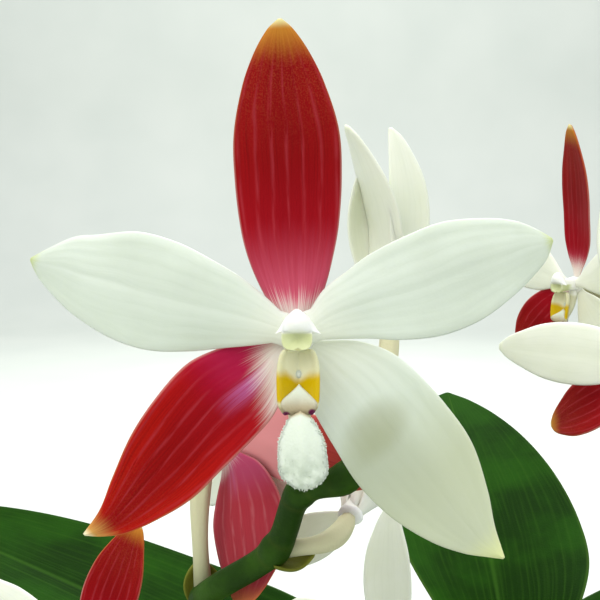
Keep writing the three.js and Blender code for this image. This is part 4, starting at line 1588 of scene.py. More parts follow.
@dataclass
class Root:
    """A thick root that leaves the crown sideways and dives into the bark or hangs over the collar."""

    number: int
    turn: float
    leaves: float
    clear: float
    reach: float
    rise: float
    hold: float
    ends: float
    radius: float = 2.3
    steps: int = 110
    sides: int = 28

    def path(self, crown: Crown) -> np.ndarray:
        """Runs the root's middle line through six knots that sway a little from side to side.

        Args:
            crown: The stem that it leaves.

        Returns:
            The line's points.
        """
        angle = math.radians(self.turn)
        start = crown.radius_toward(angle) + self.clear
        knots = [
            (start, self.leaves, 0),
            (start + 0.3 * (self.reach - start), self.leaves + self.rise, 0.05),
            (start + 0.68 * (self.reach - start), self.leaves + 0.75 * self.rise, -0.04),
            (self.reach - 1.5, self.leaves + self.hold * self.rise, 0.02),
            (self.reach + 2, self.leaves + 0.6 * self.ends, 0.05),
            (self.reach + 3, self.leaves + self.ends, 0.02),
        ]
        places = [(r * math.cos(angle + sway), r * math.sin(angle + sway), z) for r, z, sway in knots]
        return smooth_path(places, self.steps)

    def build(self, crown: Crown, palette: Palette) -> bpy.types.Object:
        """Builds the root with an uneven sheath and, at its tip, a growing point.

        Args:
            crown: The stem that it leaves.
            palette: The finishes.

        Returns:
            The piece.
        """
        t = np.linspace(0, 1, self.steps)
        taper = through([(0, 1.12), (0.2, 1), (0.9, 0.92), (1, 0.45)], t) * self.radius
        around = circle(self.sides)
        uneven = 0.035 * np.sin(11 * t[:, None] + self.number) * np.cos(2 * around + self.number)
        uneven = uneven + 0.02 * np.sin(37 * t[:, None] + 3 * np.cos(around) + self.number)
        growing = np.clip((t - 0.9) / 0.05, 0, 1)
        marks = np.stack([t, growing, np.zeros_like(t)], axis=1)
        skin = tube(self.path(crown), taper[:, None] * (1 + uneven), self.sides, marks)
        piece = write_mesh(f"aerial_root_{self.number}", [skin], [palette.root])
        return seat(piece, Slot.ROOT, f"root_{self.number}")


ROOTS = (
    Root(1, turn=5, leaves=80, clear=1.3, reach=34, rise=7, hold=-0.35, ends=-22),
    Root(2, turn=66, leaves=79, clear=1, reach=27, rise=5, hold=-0.35, ends=-20),
    Root(3, turn=178, leaves=81, clear=2.3, reach=36, rise=7, hold=-0.35, ends=-20),
    Root(4, turn=224, leaves=79, clear=1.3, reach=29, rise=6, hold=-0.35, ends=-24),
    Root(5, turn=336, leaves=84, clear=2.3, reach=69, rise=20, hold=0.45, ends=-30),
    Root(6, turn=276, leaves=80, clear=2.3, reach=33, rise=6, hold=-0.35, ends=-22),
)


@dataclass
class Leaf:
    """A fleshy leaf: a folded base, a keeled middle and a blunt tip, arching from the crown."""

    name: str
    turn: float
    base: float
    length: float
    width: float
    lift: float
    bend: float
    lean: float
    clear: float
    thickness: float = 1.9
    half_width: Knots = (
        (0, 0.2), (0.07, 0.26), (0.2, 0.66), (0.34, 0.93), (0.48, 1), (0.62, 0.95), (0.76, 0.78),
        (0.88, 0.53), (0.96, 0.26), (1, 0.03),
    )
    fold: Knots = ((0, 0.6), (0.12, 0.55), (0.35, 0.3), (0.7, 0.16), (1, 0.05))
    rows: int = 151
    columns: int = 57

    def sheet(self, t: np.ndarray, s: np.ndarray) -> np.ndarray:
        """Works out the leaf's middle surface.

        The spine is an arc. A place at s across stands off it by the half width times s, pulled in by the
        fold, and rises by the fold times |s| to the power 1.35 plus a shallow ripple. A groove sinks along
        the midrib.

        Args:
            t: Shares along.
            s: Places across, from -1 to 1.

        Returns:
            The points, in millimetres.
        """
        out, up, angle = arc(self.lift, self.bend, self.length * t, self.length)
        half = self.width / 2 * through(self.half_width, t)
        folded = through(self.fold, t)
        ripple = 0.04 * half * np.sin(9 * t + np.where(s > 0, 1.3, 0)) * s * s
        rise = folded * half * np.abs(s) ** 1.35 + ripple - 0.35 * np.exp(-((s / 0.05) ** 2)) * (1 - t)
        side = half * s * np.sqrt(1 - 0.45 * folded) + self.lean * 4 * t * t * (1 - 0.4 * t)
        x, z = out - rise * np.sin(angle), up + rise * np.cos(angle)
        a = math.radians(self.turn)
        east, north = x * math.cos(a) - side * math.sin(a), x * math.sin(a) + side * math.cos(a)
        return np.stack([east, north, z], axis=-1)

    def build(self, crown: Crown, palette: Palette) -> bpy.types.Object:
        """Builds the leaf.

        Args:
            crown: The stem that it clasps.
            palette: The finishes.

        Returns:
            The piece.
        """
        t, s = blade_grid(self.rows, self.columns, 0.6, 0.55)
        a = math.radians(self.turn)
        start = crown.radius_toward(a) + self.clear
        sheet = self.sheet(t, s) + np.array([start * math.cos(a), start * math.sin(a), self.base])
        half = self.width / 2 * through(self.half_width, t)
        edge = np.minimum((1 - np.abs(s)) * half, np.minimum(t, 1 - t) * self.length)
        body = self.thickness / 2 * (0.62 + 0.38 * np.exp(-((s / 0.5) ** 2)))
        skin = blade(sheet, body * round_edge(edge, 0.9 * self.thickness), np.stack([t, s], axis=-1))
        piece = write_mesh(self.name.replace("leaf", "leaf_blade"), [skin], [palette.leaf])
        return seat(piece, Slot.LEAF, self.name)


LEAVES = (
    Leaf("leaf_back", turn=79, base=98, length=151, width=60, lift=24, bend=-6, lean=8, clear=0),
    Leaf("leaf_back_left", turn=167, base=93, length=166, width=60, lift=22, bend=-6, lean=0, clear=1.8),
    Leaf("leaf_back_right", turn=40, base=88.5, length=160, width=64, lift=16, bend=-34, lean=-4, clear=1.2),
    Leaf("leaf_front", turn=262, base=93, length=160, width=60, lift=24, bend=-50, lean=4, clear=1.3),
    Leaf("leaf_front_right", turn=318, base=98, length=128, width=50, lift=44, bend=-36, lean=-3, clear=0.6),
    Leaf("leaf_front_left", turn=210, base=88.5, length=158, width=62, lift=16, bend=-38, lean=-3, clear=1.2),
)


# Blooms

SEPAL_LAYER = -1.05
PETAL_LAYER = 0.15
TEPAL_THICKNESS = 0.7


@dataclass
class Pose:
    """Where a bloom stands: its own axes are u to the right, v up and w out of its face.

    Attributes:
        at: Where its tepals meet.
        turn: How far it faces round from -Y toward +X, in degrees.
        tilt: How far it faces up, in degrees.
        roll: How far it leans anticlockwise, in degrees.
    """

    at: Point
    turn: float
    tilt: float
    roll: float

    def axes(self) -> np.ndarray:
        """Works out the bloom's axes.

        Returns:
            A (3, 3) array whose rows are u, v and w.
        """
        a, e, r = (math.radians(angle) for angle in (self.turn, self.tilt, self.roll))
        w = np.array([math.sin(a) * math.cos(e), -math.cos(a) * math.cos(e), math.sin(e)])
        level = np.array([math.cos(a), math.sin(a), 0])
        upright = np.cross(w, level)
        u = level * math.cos(r) + upright * math.sin(r)
        v = upright * math.cos(r) - level * math.sin(r)
        return np.stack([u, v, w])

    def set_down(self, skin: Skin) -> Skin:
        """Moves a surface from the bloom's own axes to its place."""
        return replace(skin, points=skin.points @ self.axes() + np.array(self.at))

    def behind(self, distance: float) -> np.ndarray:
        """The point that lies a distance behind the bloom's middle."""
        return np.array(self.at) - distance * self.axes()[2]


@dataclass
class Tepal:
    """A sepal or petal: an uneven outline on a bent spine, cupped and waved.

    Attributes:
        angle: Compass angle of its axis in the bloom's face, in degrees.
        length: From the bloom's middle to the tip.
        left: Its left edge's distance from the axis, at shares of the length.
        right: Its right edge's distance from the axis, at shares of the length.
        lift: How far it leans forward, in degrees.
        bend: How far its spine turns, in degrees.
        layer: How far in front of the bloom's middle it lies.
        cup: How far its edges rise for each 5 mm of half width.
        wave: How far its edges ripple for each 5 mm of half width.
        twist: How far it turns about its own axis by its middle, in degrees.
        start: Where its blade starts in the solid.
        root: Where its blade starts here, nearer to the bloom's middle.
    """

    angle: float
    length: float
    left: Knots
    right: Knots
    lift: float
    bend: float
    layer: float
    cup: float
    wave: float = 0.0
    twist: float = 0.0
    start: float = 2.0
    root: float = 0.7

    def skin(self, rows: int, columns: int, relief: float = 1.0) -> Skin:
        """Builds the blade in the bloom's own axes.

        A place at share t and s across lies on the spine's arc at t, off the axis by the mean of the two
        edges plus s times half their distance, and rises by cup times s squared and wave times s cubed
        times a sine of t. The whole is turned about the spine by the twist. Low ridges run along it, and
        its edge is rounded.

        Args:
            rows: Rows of corners along it.
            columns: Columns of corners across it.
            relief: Size of the ridges, 1 for the front bloom.

        Returns:
            The blade.
        """
        whole = self.length - self.start
        first = (self.root - self.start) / whole
        share, s = blade_grid(rows, columns, 0.6, 0.55)
        t = first + (1 - first) * share
        run = whole * t
        place = (self.start + run) / self.length
        out, up, angle = arc(self.lift, self.bend, run, whole)
        left, right = through(self.left, place), through(self.right, place)
        offset, half = (left + right) / 2 + s * (left - right) / 2, (left - right) / 2
        rise = (self.cup * s * s + self.wave * s**3 * np.sin(16 * place)) * half / 5
        ridges = 0.015 * np.cos(8.5 * math.pi * s) + 0.1 * np.exp(-((s / 0.13) ** 2))
        swell = 0.16 * np.sin(5.2 * place + 2.3 * s + self.angle) * np.sin(3.1 * s - 4 * place)
        rise = rise + relief * (swell - ridges) * np.clip(half / 5, 0, 1) * np.clip(8 * (1 - place), 0, 1)
        roll = math.radians(self.twist) * smooth_step(t / 0.45)
        offset, rise = offset * np.cos(roll) - rise * np.sin(roll), offset * np.sin(roll) + rise * np.cos(roll)
        a = math.radians(self.angle)
        forward = self.start + out - rise * np.sin(angle)
        u = forward * math.cos(a) - offset * math.sin(a)
        v = forward * math.sin(a) + offset * math.cos(a)
        sheet = np.stack([u, v, self.layer + up + rise * np.cos(angle)], axis=-1)
        edge = np.minimum((1 - np.abs(s)) * half, (1 - share) * self.length)
        edge = np.minimum(edge, share * self.length + 0.05)
        body = TEPAL_THICKNESS / 2 * (0.72 + 0.28 * np.exp(-((s / 0.6) ** 2)))
        return blade(sheet, body * round_edge(edge, 0.75), np.stack([place, s], axis=-1))


FRONT_TEPALS = {
    "front_dorsal_sepal": Tepal(
        angle=93.1, length=29.9, start=2, lift=3, bend=6, layer=SEPAL_LAYER, cup=-0.5,
        left=((0.04, 1.5), (0.15, 3.2), (0.25, 4.3), (0.35, 4.9), (0.5, 5.2), (0.65, 5.05), (0.8, 3.95),
              (0.9, 2.65), (0.97, 1.25), (1, 0.15)),
        right=((0.04, -1.5), (0.15, -3), (0.25, -3.95), (0.35, -4.65), (0.5, -5.15), (0.65, -5.1),
               (0.8, -3.9), (0.9, -2.55), (0.97, -1.15), (1, -0.15)),
    ),
    "front_left_petal": Tepal(
        angle=164.1, length=26.6, start=2.3, lift=4, bend=-9, layer=PETAL_LAYER, cup=-0.55, wave=0.22,
        left=((0.08, 1.4), (0.15, 2.2), (0.25, 3.25), (0.35, 4.3), (0.5, 5.3), (0.65, 5.2), (0.8, 4),
              (0.9, 2.55), (0.96, 1.4), (1, 0.12)),
        right=((0.08, -1.8), (0.15, -2.75), (0.25, -3.85), (0.35, -4.6), (0.5, -5.4), (0.65, -5.35),
               (0.8, -3.95), (0.87, -3.25), (0.94, -1.7), (1, -0.12)),
    ),
    "front_right_petal": Tepal(
        angle=20.5, length=26, start=2.3, lift=5, bend=-8, layer=PETAL_LAYER, cup=-0.5, wave=0.18,
        left=((0.08, 1.9), (0.15, 3.2), (0.25, 4.05), (0.35, 4.8), (0.5, 5.25), (0.65, 5.25), (0.8, 4.15),
              (0.9, 2.85), (0.96, 1.45), (1, 0.12)),
        right=((0.08, -1.3), (0.15, -1.9), (0.25, -2.8), (0.35, -3.9), (0.5, -4.9), (0.65, -4.8),
               (0.8, -3.7), (0.9, -2.5), (0.96, -1.45), (1, -0.12)),
    ),
    "front_left_sepal": Tepal(
        angle=-136.8, length=28.3, start=1.9, lift=-2, bend=5, layer=SEPAL_LAYER, cup=0.5,
        left=((0.06, 0.35), (0.1, 1.5), (0.17, 3.2), (0.25, 4.15), (0.35, 4.45), (0.5, 4.55), (0.65, 4.6),
              (0.8, 3.65), (0.9, 2.55), (0.96, 1.3), (1, 0.12)),
        right=((0.06, -0.9), (0.15, -3), (0.25, -4.5), (0.35, -5.25), (0.5, -4.9), (0.65, -3.9), (0.8, -2.1),
               (0.9, -0.75), (1, -0.12)),
    ),
    "front_right_sepal": Tepal(
        angle=-47.2, length=29.4, start=1.9, lift=-2, bend=6, layer=SEPAL_LAYER, cup=0.6,
        left=((0.06, 1.1), (0.15, 3.9), (0.25, 5.5), (0.35, 6), (0.5, 5.95), (0.65, 5.3), (0.8, 3.3),
              (0.9, 1.5), (0.96, 0.65), (1, 0.12)),
        right=((0.06, -0.7), (0.12, -2.3), (0.18, -3.5), (0.25, -4.05), (0.35, -4.7), (0.5, -5.5),
               (0.65, -5.3), (0.8, -4.05), (0.9, -2.5), (0.96, -1.1), (1, -0.12)),
    ),
}

PLAIN_EDGE = (
    (0, 0.12), (0.08, 0.2), (0.18, 0.52), (0.3, 0.82), (0.5, 1), (0.7, 0.9), (0.86, 0.58), (0.95, 0.33),
    (1, 0.08),
)
FULL_EDGE = (
    (0, 0.12), (0.08, 0.4), (0.18, 0.88), (0.3, 1.02), (0.5, 1), (0.7, 0.9), (0.86, 0.56), (0.95, 0.28),
    (1, 0.04),
)


@dataclass
class Column:
    """The column: a stout shaft with a hollow face, a foot down to the lip and a three-cornered cap."""

    back: float = -1.4
    front: float = 4.3
    radius: float = 1.43
    foot_reach: float = 6.1
    cap_half: float = 2.3
    cap_height: float = 2.15
    cap_foot: float = 0.4

    def shaft(self, fine: float, finish: int) -> Skin:
        """Builds the shaft, squarish, whose front face sinks into a shallow hollow under the cap.

        Args:
            fine: How fine the mesh is, 1 for the plainest.
            finish: Which of the piece's finishes it takes.

        Returns:
            The shaft.
        """
        run = np.concatenate([np.linspace(0, 1, int(18 * fine)), np.linspace(1, 0.86, int(8 * fine))[1:]])
        closing = np.concatenate([np.ones(int(18 * fine)), np.linspace(1, 0.12, int(8 * fine))[1:]])
        radius = self.radius * (1 - 0.14 * np.sin(math.pi * run)) * closing
        sides = int(28 * fine)
        around = circle(sides)
        w = self.back + (self.front - self.back) * run
        way = np.stack([np.cos(around), np.sin(around)])
        way = way * np.abs(way).max(axis=0) ** -0.35
        x = radius[:, None] * way[0]
        y = radius[:, None] * np.where(way[1] > 0, 1.12, 0.78) * way[1] + (0.1 - 0.25 * run)[:, None]
        rings = np.stack([x, y, np.repeat(w[:, None], sides, axis=1)], axis=-1)
        return capped_rings(rings, rings, finish)

    def foot(self, rise: float, fine: float, finish: int) -> Skin:
        """Builds the foot, a tube along a curve from the shaft to the lip's hinge.

        Args:
            rise: How far out the curve ends.
            fine: How fine the mesh is, 1 for the plainest.
            finish: Which of the piece's finishes it takes.

        Returns:
            The foot.
        """
        t = np.linspace(0, 1, int(14 * fine))[:, None]
        a, b, c = np.array([[0, -0.4, -0.5], [0, -self.foot_reach * 0.6, -0.75], [0, -self.foot_reach, rise]])
        path = a * (1 - t) ** 2 + 2 * b * t * (1 - t) + c * t**2
        return tube(path, (0.72 - 0.15 * t)[:, 0] * 1.15, int(14 * fine), path, finish)

    def cap(self, fine: float, finish: int) -> Skin:
        """Builds the cap over the anther, a ball drawn up to a point and out to two wings.

        Args:
            fine: How fine the mesh is, 1 for the plainest.
            finish: Which of the piece's finishes it takes.

        Returns:
            The cap.
        """
        def shape(p: np.ndarray) -> np.ndarray:
            """Widens the ball downwards and lets its two sides drop.

            Args:
                p: Corners of a ball of radius 1.

            Returns:
                The corners in the bloom's own axes.
            """
            drop = (1 - p[:, 1]) / 2
            level = np.maximum(np.hypot(p[:, 0], p[:, 2]), 0.05) ** -0.85
            widths = [(0, 0.08), (0.1, 0.2), (0.36, 0.43), (0.74, 0.68), (0.9, 0.85), (1, 1.05)]
            half = self.cap_half * 1.08 * through(widths, drop)
            aside = np.abs(p[:, 0] * level)
            v = self.cap_foot + self.cap_height * (1 - drop) - 0.38 * aside**4 * drop**4
            w = 3.9 + p[:, 2] * (1.2 - 0.45 * aside**2 * drop**2) - 0.5 * p[:, 0] ** 2 * drop
            return np.stack([0.1 * drop + p[:, 0] * half * level, v, w], axis=1)
        return moulded(int(40 * fine), int(26 * fine), shape, finish=finish)

    def hub(self, fine: float, finish: int) -> Skin:
        """Builds the fleshy disc that the tepals join on, a ball flattened along w."""
        return stretched_ball(int(26 * fine), int(14 * fine), (1.8, 1.8, 0.8), (0, -0.1, -0.9), finish)

    def skins(self, rise: float, fine: float, finish: int) -> list[Skin]:
        """All the column's surfaces."""
        solid = [self.shaft(fine, finish), self.foot(rise, fine, finish)]
        return solid + [self.cap(fine, finish), self.hub(fine, finish)]


@dataclass
class Lip:
    """The lip: two side lobes that stand up as a trough, a wedge-shaped callus and a hairy midlobe."""

    half: float = 1.8
    top: float = -1.75
    bottom: float = -6.8
    mid_top: float = -6.05
    mid_length: float = 7.5
    mid_root: float = 2.0
    mid_half: float = 2.3
    mid_thick: float = 0.95
    shift: float = 0.3
    mid_outline: Knots = (
        (0, 0), (0.07, 0.36), (0.2, 0.63), (0.35, 0.84), (0.48, 0.92), (0.63, 0.95), (0.74, 0.96),
        (0.84, 0.84), (0.91, 0.61), (0.97, 0.32), (1, 0),
    )
    trough_outline: Knots = (
        (0, 0.62), (0.06, 0.82), (0.16, 0.98), (0.35, 1.05), (0.7, 1.05), (0.88, 0.94), (0.96, 0.8), (1, 0.62),
    )
    hairs: int = 900
    seed: int = 11

    def trough(self, fine: float, finish: int) -> Skin:
        """Builds the side lobes as one blade: its floor rises by 1.75 times |s| to the power 1.6.

        Args:
            fine: How fine the mesh is, 1 for the plainest.
            finish: Which of the piece's finishes it takes.

        Returns:
            The trough.
        """
        t, s = blade_grid(int(44 * fine), int(40 * fine), 0.5, 0.4)
        half = self.half * through(self.trough_outline, t)
        floor = 1.9 + (1.35 - 1.9) * t
        crest = 0.2 * np.sin(math.pi * t) * s**4 - 0.5 * s**2 * (1 - smooth_step(t / 0.14))
        v = self.bottom - 0.45 + (self.top - self.bottom + 0.95) * t
        sheet = np.stack([0.12 + half * s, v, floor + 1.75 * np.abs(s) ** 1.6 + crest], axis=-1)
        edge = np.minimum((1 - np.abs(s)) * 2.4, np.minimum(t, 1 - t) * 5)
        skin = blade(sheet, 0.3 * round_edge(edge, 0.4), np.stack([t, s], axis=-1), finish)
        return replace(skin, marks=skin.points)

    def callus(self, fine: float, finish: int) -> Skin:
        """Builds the callus, a ball drawn out into a broad wedge that fills the trough low down.

        Args:
            fine: How fine the mesh is, 1 for the plainest.
            finish: Which of the piece's finishes it takes.

        Returns:
            The callus.
        """
        def shape(p: np.ndarray) -> np.ndarray:
            """Widens the ball downwards and turns its sides up along the trough.

            Args:
                p: Corners of a ball of radius 1.

            Returns:
                The corners in the bloom's own axes.
            """
            drop = (1 - p[:, 1]) / 2
            level = np.maximum(np.hypot(p[:, 0], p[:, 2]), 0.2) ** -0.5
            half = through([(0, 0.05), (0.25, 0.85), (0.47, 1.6), (0.75, 1.62), (1, 1.2)], drop)
            aside = p[:, 0] * level * half
            w = 2.3 + 1.4 * np.abs(aside / 1.8) ** 1.6 + p[:, 2] * (0.5 + 0.95 * drop)
            return np.stack([0.2 + aside, -4.45 - 3 * drop, w], axis=1)
        return moulded(int(32 * fine), int(26 * fine), shape, finish=finish)

    def tongue(self, fine: float, finish: int) -> Skin:
        """Builds the small pale tongue above the callus, a flattened ball 0.8 mm across."""
        return stretched_ball(int(12 * fine), int(10 * fine), (0.4, 0.4, 0.2), (0.2, -3.6, 1.84), finish)

    def midlobe_shape(self, p: np.ndarray) -> np.ndarray:
        """Turns a ball into the midlobe: egg-shaped, wider low down, with a broad low keel in front.

        Args:
            p: Corners of a ball of radius 1.

        Returns:
            The corners in the bloom's own axes.
        """
        drop = np.clip((1 - p[:, 1]) / 2, 0, 1)
        ring = np.maximum(np.hypot(p[:, 0], p[:, 2]), 1e-6)
        bulge = through(self.mid_outline, drop)
        lump = 0.16 * np.sin(9 * p[:, 0] + 4 * p[:, 1]) * np.sin(11 * p[:, 1] + 2)
        lump = lump * np.clip(2.6 * drop - 1.1, 0, 1)
        keel = 0.2 * np.exp(-((p[:, 0] / 0.3) ** 2)) * np.clip(p[:, 2], 0, 1)
        u = self.shift + 0.4 * drop**1.2 + p[:, 0] / ring * self.mid_half * bulge
        v = self.mid_top - 0.75 - (self.mid_length - 0.55) * drop
        w = self.mid_root + 1.45 + 1.3 * np.sqrt(drop) + p[:, 2] * self.mid_thick * (1 + lump) + keel
        return np.stack([u, v, w], axis=1)

    def nap(self, finish: int, fine: float) -> Skin:
        """Covers the midlobe with short blunt hairs.

        Points are spread over the ball by a golden-angle spiral, kept off its root, and jostled by seeded
        draws. Each hair is a five-sided cone that stands on the midlobe there and leans downwards.

        Args:
            finish: Which of the piece's finishes it takes.
            fine: Share of the hairs to make.

        Returns:
            All the hairs as one surface.
        """
        draw = np.random.default_rng(self.seed)
        n = int(self.hairs * fine)
        k = np.arange(n) + 0.5
        height = 1 - 2 * k / n
        ring = np.sqrt(1 - height**2)
        angle = k * GOLDEN_ANGLE + draw.normal(0, 0.12, n)
        ball = np.stack([ring * np.cos(angle), height, ring * np.sin(angle)], axis=1)
        flank = np.abs(ball[:, 0]) / np.maximum(ring, 1e-6)
        low = np.clip(-height, 0, 1)
        ball = ball[(height < 0.8) & (draw.uniform(0, 1, n) < flank**11 + 0.04 * low)]
        step = 1e-3
        foot = self.midlobe_shape(ball)
        grow = unit(self.midlobe_shape(ball * (1 + step)) - foot)
        out = unit(foot - np.array([self.shift + 0.15, self.mid_top - self.mid_length * 0.5, 3.9]))
        lean = unit(0.5 * grow + out + draw.normal(0, 0.22, foot.shape) + np.array([0, -0.25, 0]))
        n = len(foot)
        long = draw.uniform(0.1, 0.24, n) * (0.5 + 0.6 * (1 - np.abs(ball[:, 2])))
        thick = draw.uniform(0.05, 0.085, n)
        first = unit(np.cross(lean, np.array([0.3, 0.2, 0.93])))
        second = np.cross(lean, first)
        turn = circle(5)[:, None]
        ring_way = np.cos(turn) * first[:, None] + np.sin(turn) * second[:, None]
        low = foot[:, None] - 0.06 * lean[:, None] + ring_way * thick[:, None, None]
        high = foot[:, None] + (lean * long[:, None])[:, None] * 0.75 + ring_way * (thick * 0.6)[:, None, None]
        tip = foot + lean * long[:, None]
        heel = foot - 0.12 * lean
        points = np.concatenate([low, high, tip[:, None], heel[:, None]], axis=1)
        j = np.arange(5)
        following = (j + 1) % 5
        quads = np.stack([j, following, following + 5, j + 5], axis=1)
        caps = np.concatenate([
            np.stack([j + 5, following + 5, np.full(5, 10)], axis=1),
            np.stack([following, j, np.full(5, 11)], axis=1),
        ])
        starts = np.arange(n)[:, None, None] * 12
        points = points.reshape(-1, 3)
        return Skin(points, (quads[None] + starts).reshape(-1, 4), (caps[None] + starts).reshape(-1, 3),
                    points.copy(), finish).outward()

    def skins(self, fine: float, flesh: int, nap: int) -> list[Skin]:
        """Builds all the lip's surfaces.

        Args:
            fine: How fine the mesh is, 1 for the plainest.
            flesh: The finish of the side lobes.
            nap: The finish of the callus, the tongue, the midlobe and its hairs.

        Returns:
            The surfaces.
        """
        midlobe = moulded(int(56 * fine), int(44 * fine), self.midlobe_shape, finish=nap)
        smooth = [self.trough(fine, flesh), self.callus(fine, nap), self.tongue(fine, nap), midlobe]
        return smooth + [self.nap(nap, fine**2)]


@dataclass
class FrontBloom:
    """The front bloom, each of its parts a piece of its own."""

    pose: Pose = field(default_factory=lambda: Pose((-50, -100, 215), 0, 6.5, 0))
    column: Column = field(default_factory=Column)
    lip: Lip = field(default_factory=Lip)
    rows: int = 121
    columns: int = 53

    def build(self, palette: Palette) -> None:
        """Builds the five tepals, the column and the lip.

        Args:
            palette: The finishes.
        """
        finishes = {
            "front_dorsal_sepal": (palette.dorsal, Slot.CRIMSON),
            "front_left_petal": (palette.white, Slot.WHITE),
            "front_right_petal": (palette.white, Slot.WHITE),
            "front_left_sepal": (palette.blushed, Slot.CRIMSON),
            "front_right_sepal": (palette.shaded, Slot.WHITE),
        }
        for node, tepal in FRONT_TEPALS.items():
            material, slot = finishes[node]
            skin = self.pose.set_down(tepal.skin(self.rows, self.columns))
            seat(write_mesh(node.replace("front", "bloom"), [skin], [material]), slot, node)
        column = [self.pose.set_down(skin) for skin in self.column.skins(0.65, 1.6, 0)]
        seat(write_mesh("bloom_column", column, [palette.column]), Slot.COLUMN, "front_column")
        lip = [self.pose.set_down(skin) for skin in self.lip.skins(1.4, 0, 1)]
        seat(write_mesh("bloom_lip", lip, [palette.lip, palette.nap]), Slot.LIP, "front_lip")


@dataclass
class Bloom:
    """One of the other blooms: its white parts are one piece and each crimson tepal is another.

    Attributes:
        name: Its node.
        pose: Where it stands.
        lift: How far its tepals lean forward, in degrees.
        bend: How far their spines turn, in degrees.
        red: Its crimson tepals.
        own: Changes to single tepals, by tepal and then by field.
    """

    name: str
    pose: Pose
    lift: float
    bend: float
    red: tuple[str, ...] = ()
    own: dict[str, dict[str, float]] = field(default_factory=dict)

    HALF_OPEN = 30.0
    HALF_OPEN_WIDTH = 0.8
    PALE_GRID = (61, 25)
    RED_GRID = (71, 29)
    RELIEF = 0.7
    PLAIN = {
        "dorsal": (91, 29.5, 5.2, SEPAL_LAYER),
        "petal_left": (163, 26.5, 5.2, PETAL_LAYER),
        "petal_right": (19, 26.5, 5.2, PETAL_LAYER),
        "sepal_left": (-134, 28.5, 5.6, SEPAL_LAYER),
        "sepal_right": (-47, 28.5, 5.6, SEPAL_LAYER),
    }

    def tepals(self) -> dict[str, Tepal]:
        """Works out the bloom's five tepals from the plain ones and its own changes.

        Returns:
            The tepals by name.
        """
        wide = self.HALF_OPEN_WIDTH if self.lift > self.HALF_OPEN else 1.0
        made = {}
        for part, (angle, length, half, layer) in self.PLAIN.items():
            sizes = {
                "angle": angle,
                "length": length,
                "half": half,
                "layer": layer,
                "lift": self.lift,
                "bend": self.bend,
                "start": 2.3 if part in self.red else 1.1,
                **self.own.get(part, {}),
            }
            half = sizes.pop("half") * wide
            left, right = half * sizes.pop("left_share", 1.0), half * sizes.pop("right_share", 1.0)
            made[part] = Tepal(
                left=[(t, left * share) for t, share in PLAIN_EDGE],
                right=[(t, -right * share) for t, share in (FULL_EDGE if right > left else PLAIN_EDGE)],
                cup=-0.5 if layer == PETAL_LAYER else 0.6,
                **sizes,
            )
        return made

    def build(self, palette: Palette) -> None:
        """Builds the bloom.

        Args:
            palette: The finishes.
        """
        tepals = self.tepals()
        pale = [tepals[part].skin(*self.PALE_GRID, self.RELIEF) for part in tepals if part not in self.red]
        column = Column()
        if self.lift > self.HALF_OPEN:
            pale += [column.shaft(0.8, 1), column.hub(0.8, 1)]
        else:
            pale += column.skins(1.6, 0.8, 1)
            pale += Lip(hairs=600).skins(0.75, 2, 3)
        placed = [self.pose.set_down(skin) for skin in pale]
        # The first finish is the lighter copy of the white tepal finish, painted light on these blooms' white
        # parts.
        finishes = [palette.brightened_white, palette.column, palette.lip, palette.nap]
        seat(write_mesh(self.name.replace("flower", "bloom"), placed, finishes), Slot.WHITE, self.name)
        for part in self.red:
            skin = self.pose.set_down(tepals[part].skin(*self.RED_GRID, self.RELIEF))
            node = f"{self.name}_{part}"
            material = palette.crimson
            if self.name == "left_flower":
                material = palette.pink if part == "sepal_left" else palette.rosy
            seat(write_mesh(node.replace("flower", "bloom"), [skin], [material]), Slot.CRIMSON, node)


BLOOMS = (
    Bloom("left_flower", Pose((-60.3, -57.1, 192.3), 130, 5, -46), 8, 6, ("sepal_left", "sepal_right"), {
        "dorsal": {"lift": 50},
        "petal_right": {"angle": 8, "lift": 10},
        "sepal_left": {"left_share": 0.75, "right_share": 1.3},
        "sepal_right": {"angle": -69, "start": 2.9, "length": 23.7, "half": 6.4, "layer": -1.5, "lift": -3,
                        "bend": -23, "twist": -15, "right_share": 1.25},
    }),
    Bloom("lower_flower", Pose((-42.3, -65, 184.5), 157, 24, -57), 74, 8, (), {
        "petal_right": {"angle": 12, "lift": 10, "bend": -8},
    }),
    Bloom("upper_flower", Pose((-36.7, -56.6, 213.4), -90, 84, 12), 60, 42, (), {
        "dorsal": {"length": 24, "bend": 50},
        "sepal_left": {"angle": -152, "length": 22.5, "half": 3.7, "bend": 50},
        "sepal_right": {"length": 29.2, "half": 7.9, "lift": 104, "bend": -53, "twist": -38},
        "petal_left": {"length": 20.5, "bend": 47},
        "petal_right": {"angle": 13, "length": 26.3, "half": 5.6, "right_share": 0.3, "lift": 62, "bend": 39,
                        "twist": -15},
    }),
    Bloom("low_left_flower", Pose((-88.4, -37.4, 143.9), -15, 0, -20), 5, -20, ("dorsal", "sepal_left"), {
        "petal_left": {"angle": 168},
    }),
    Bloom("low_right_flower", Pose((-33.2, -37.5, 143.9), -40, 5, 8), 5, -20, ("sepal_left",), {
        "petal_right": {"angle": -2},
    }),
    Bloom("right_flower", Pose((2.5, -19.6, 212.1), -60, 0, 0), 5, -15, ("dorsal", "sepal_left"), {
        "dorsal": {"angle": 83, "length": 31, "half": 4.6, "bend": 19, "twist": -16},
        "sepal_left": {"start": 2.8, "length": 22.5},
    }),
    Bloom("far_right_flower", Pose((7, -50.9, 203.1), -30, 0, 17), 5, -15, ("sepal_left",), {
        "sepal_left": {"angle": -159, "length": 26.6, "half": 5.1, "lift": -7.5, "bend": -31, "twist": 37},
    }),
)


# Spikes


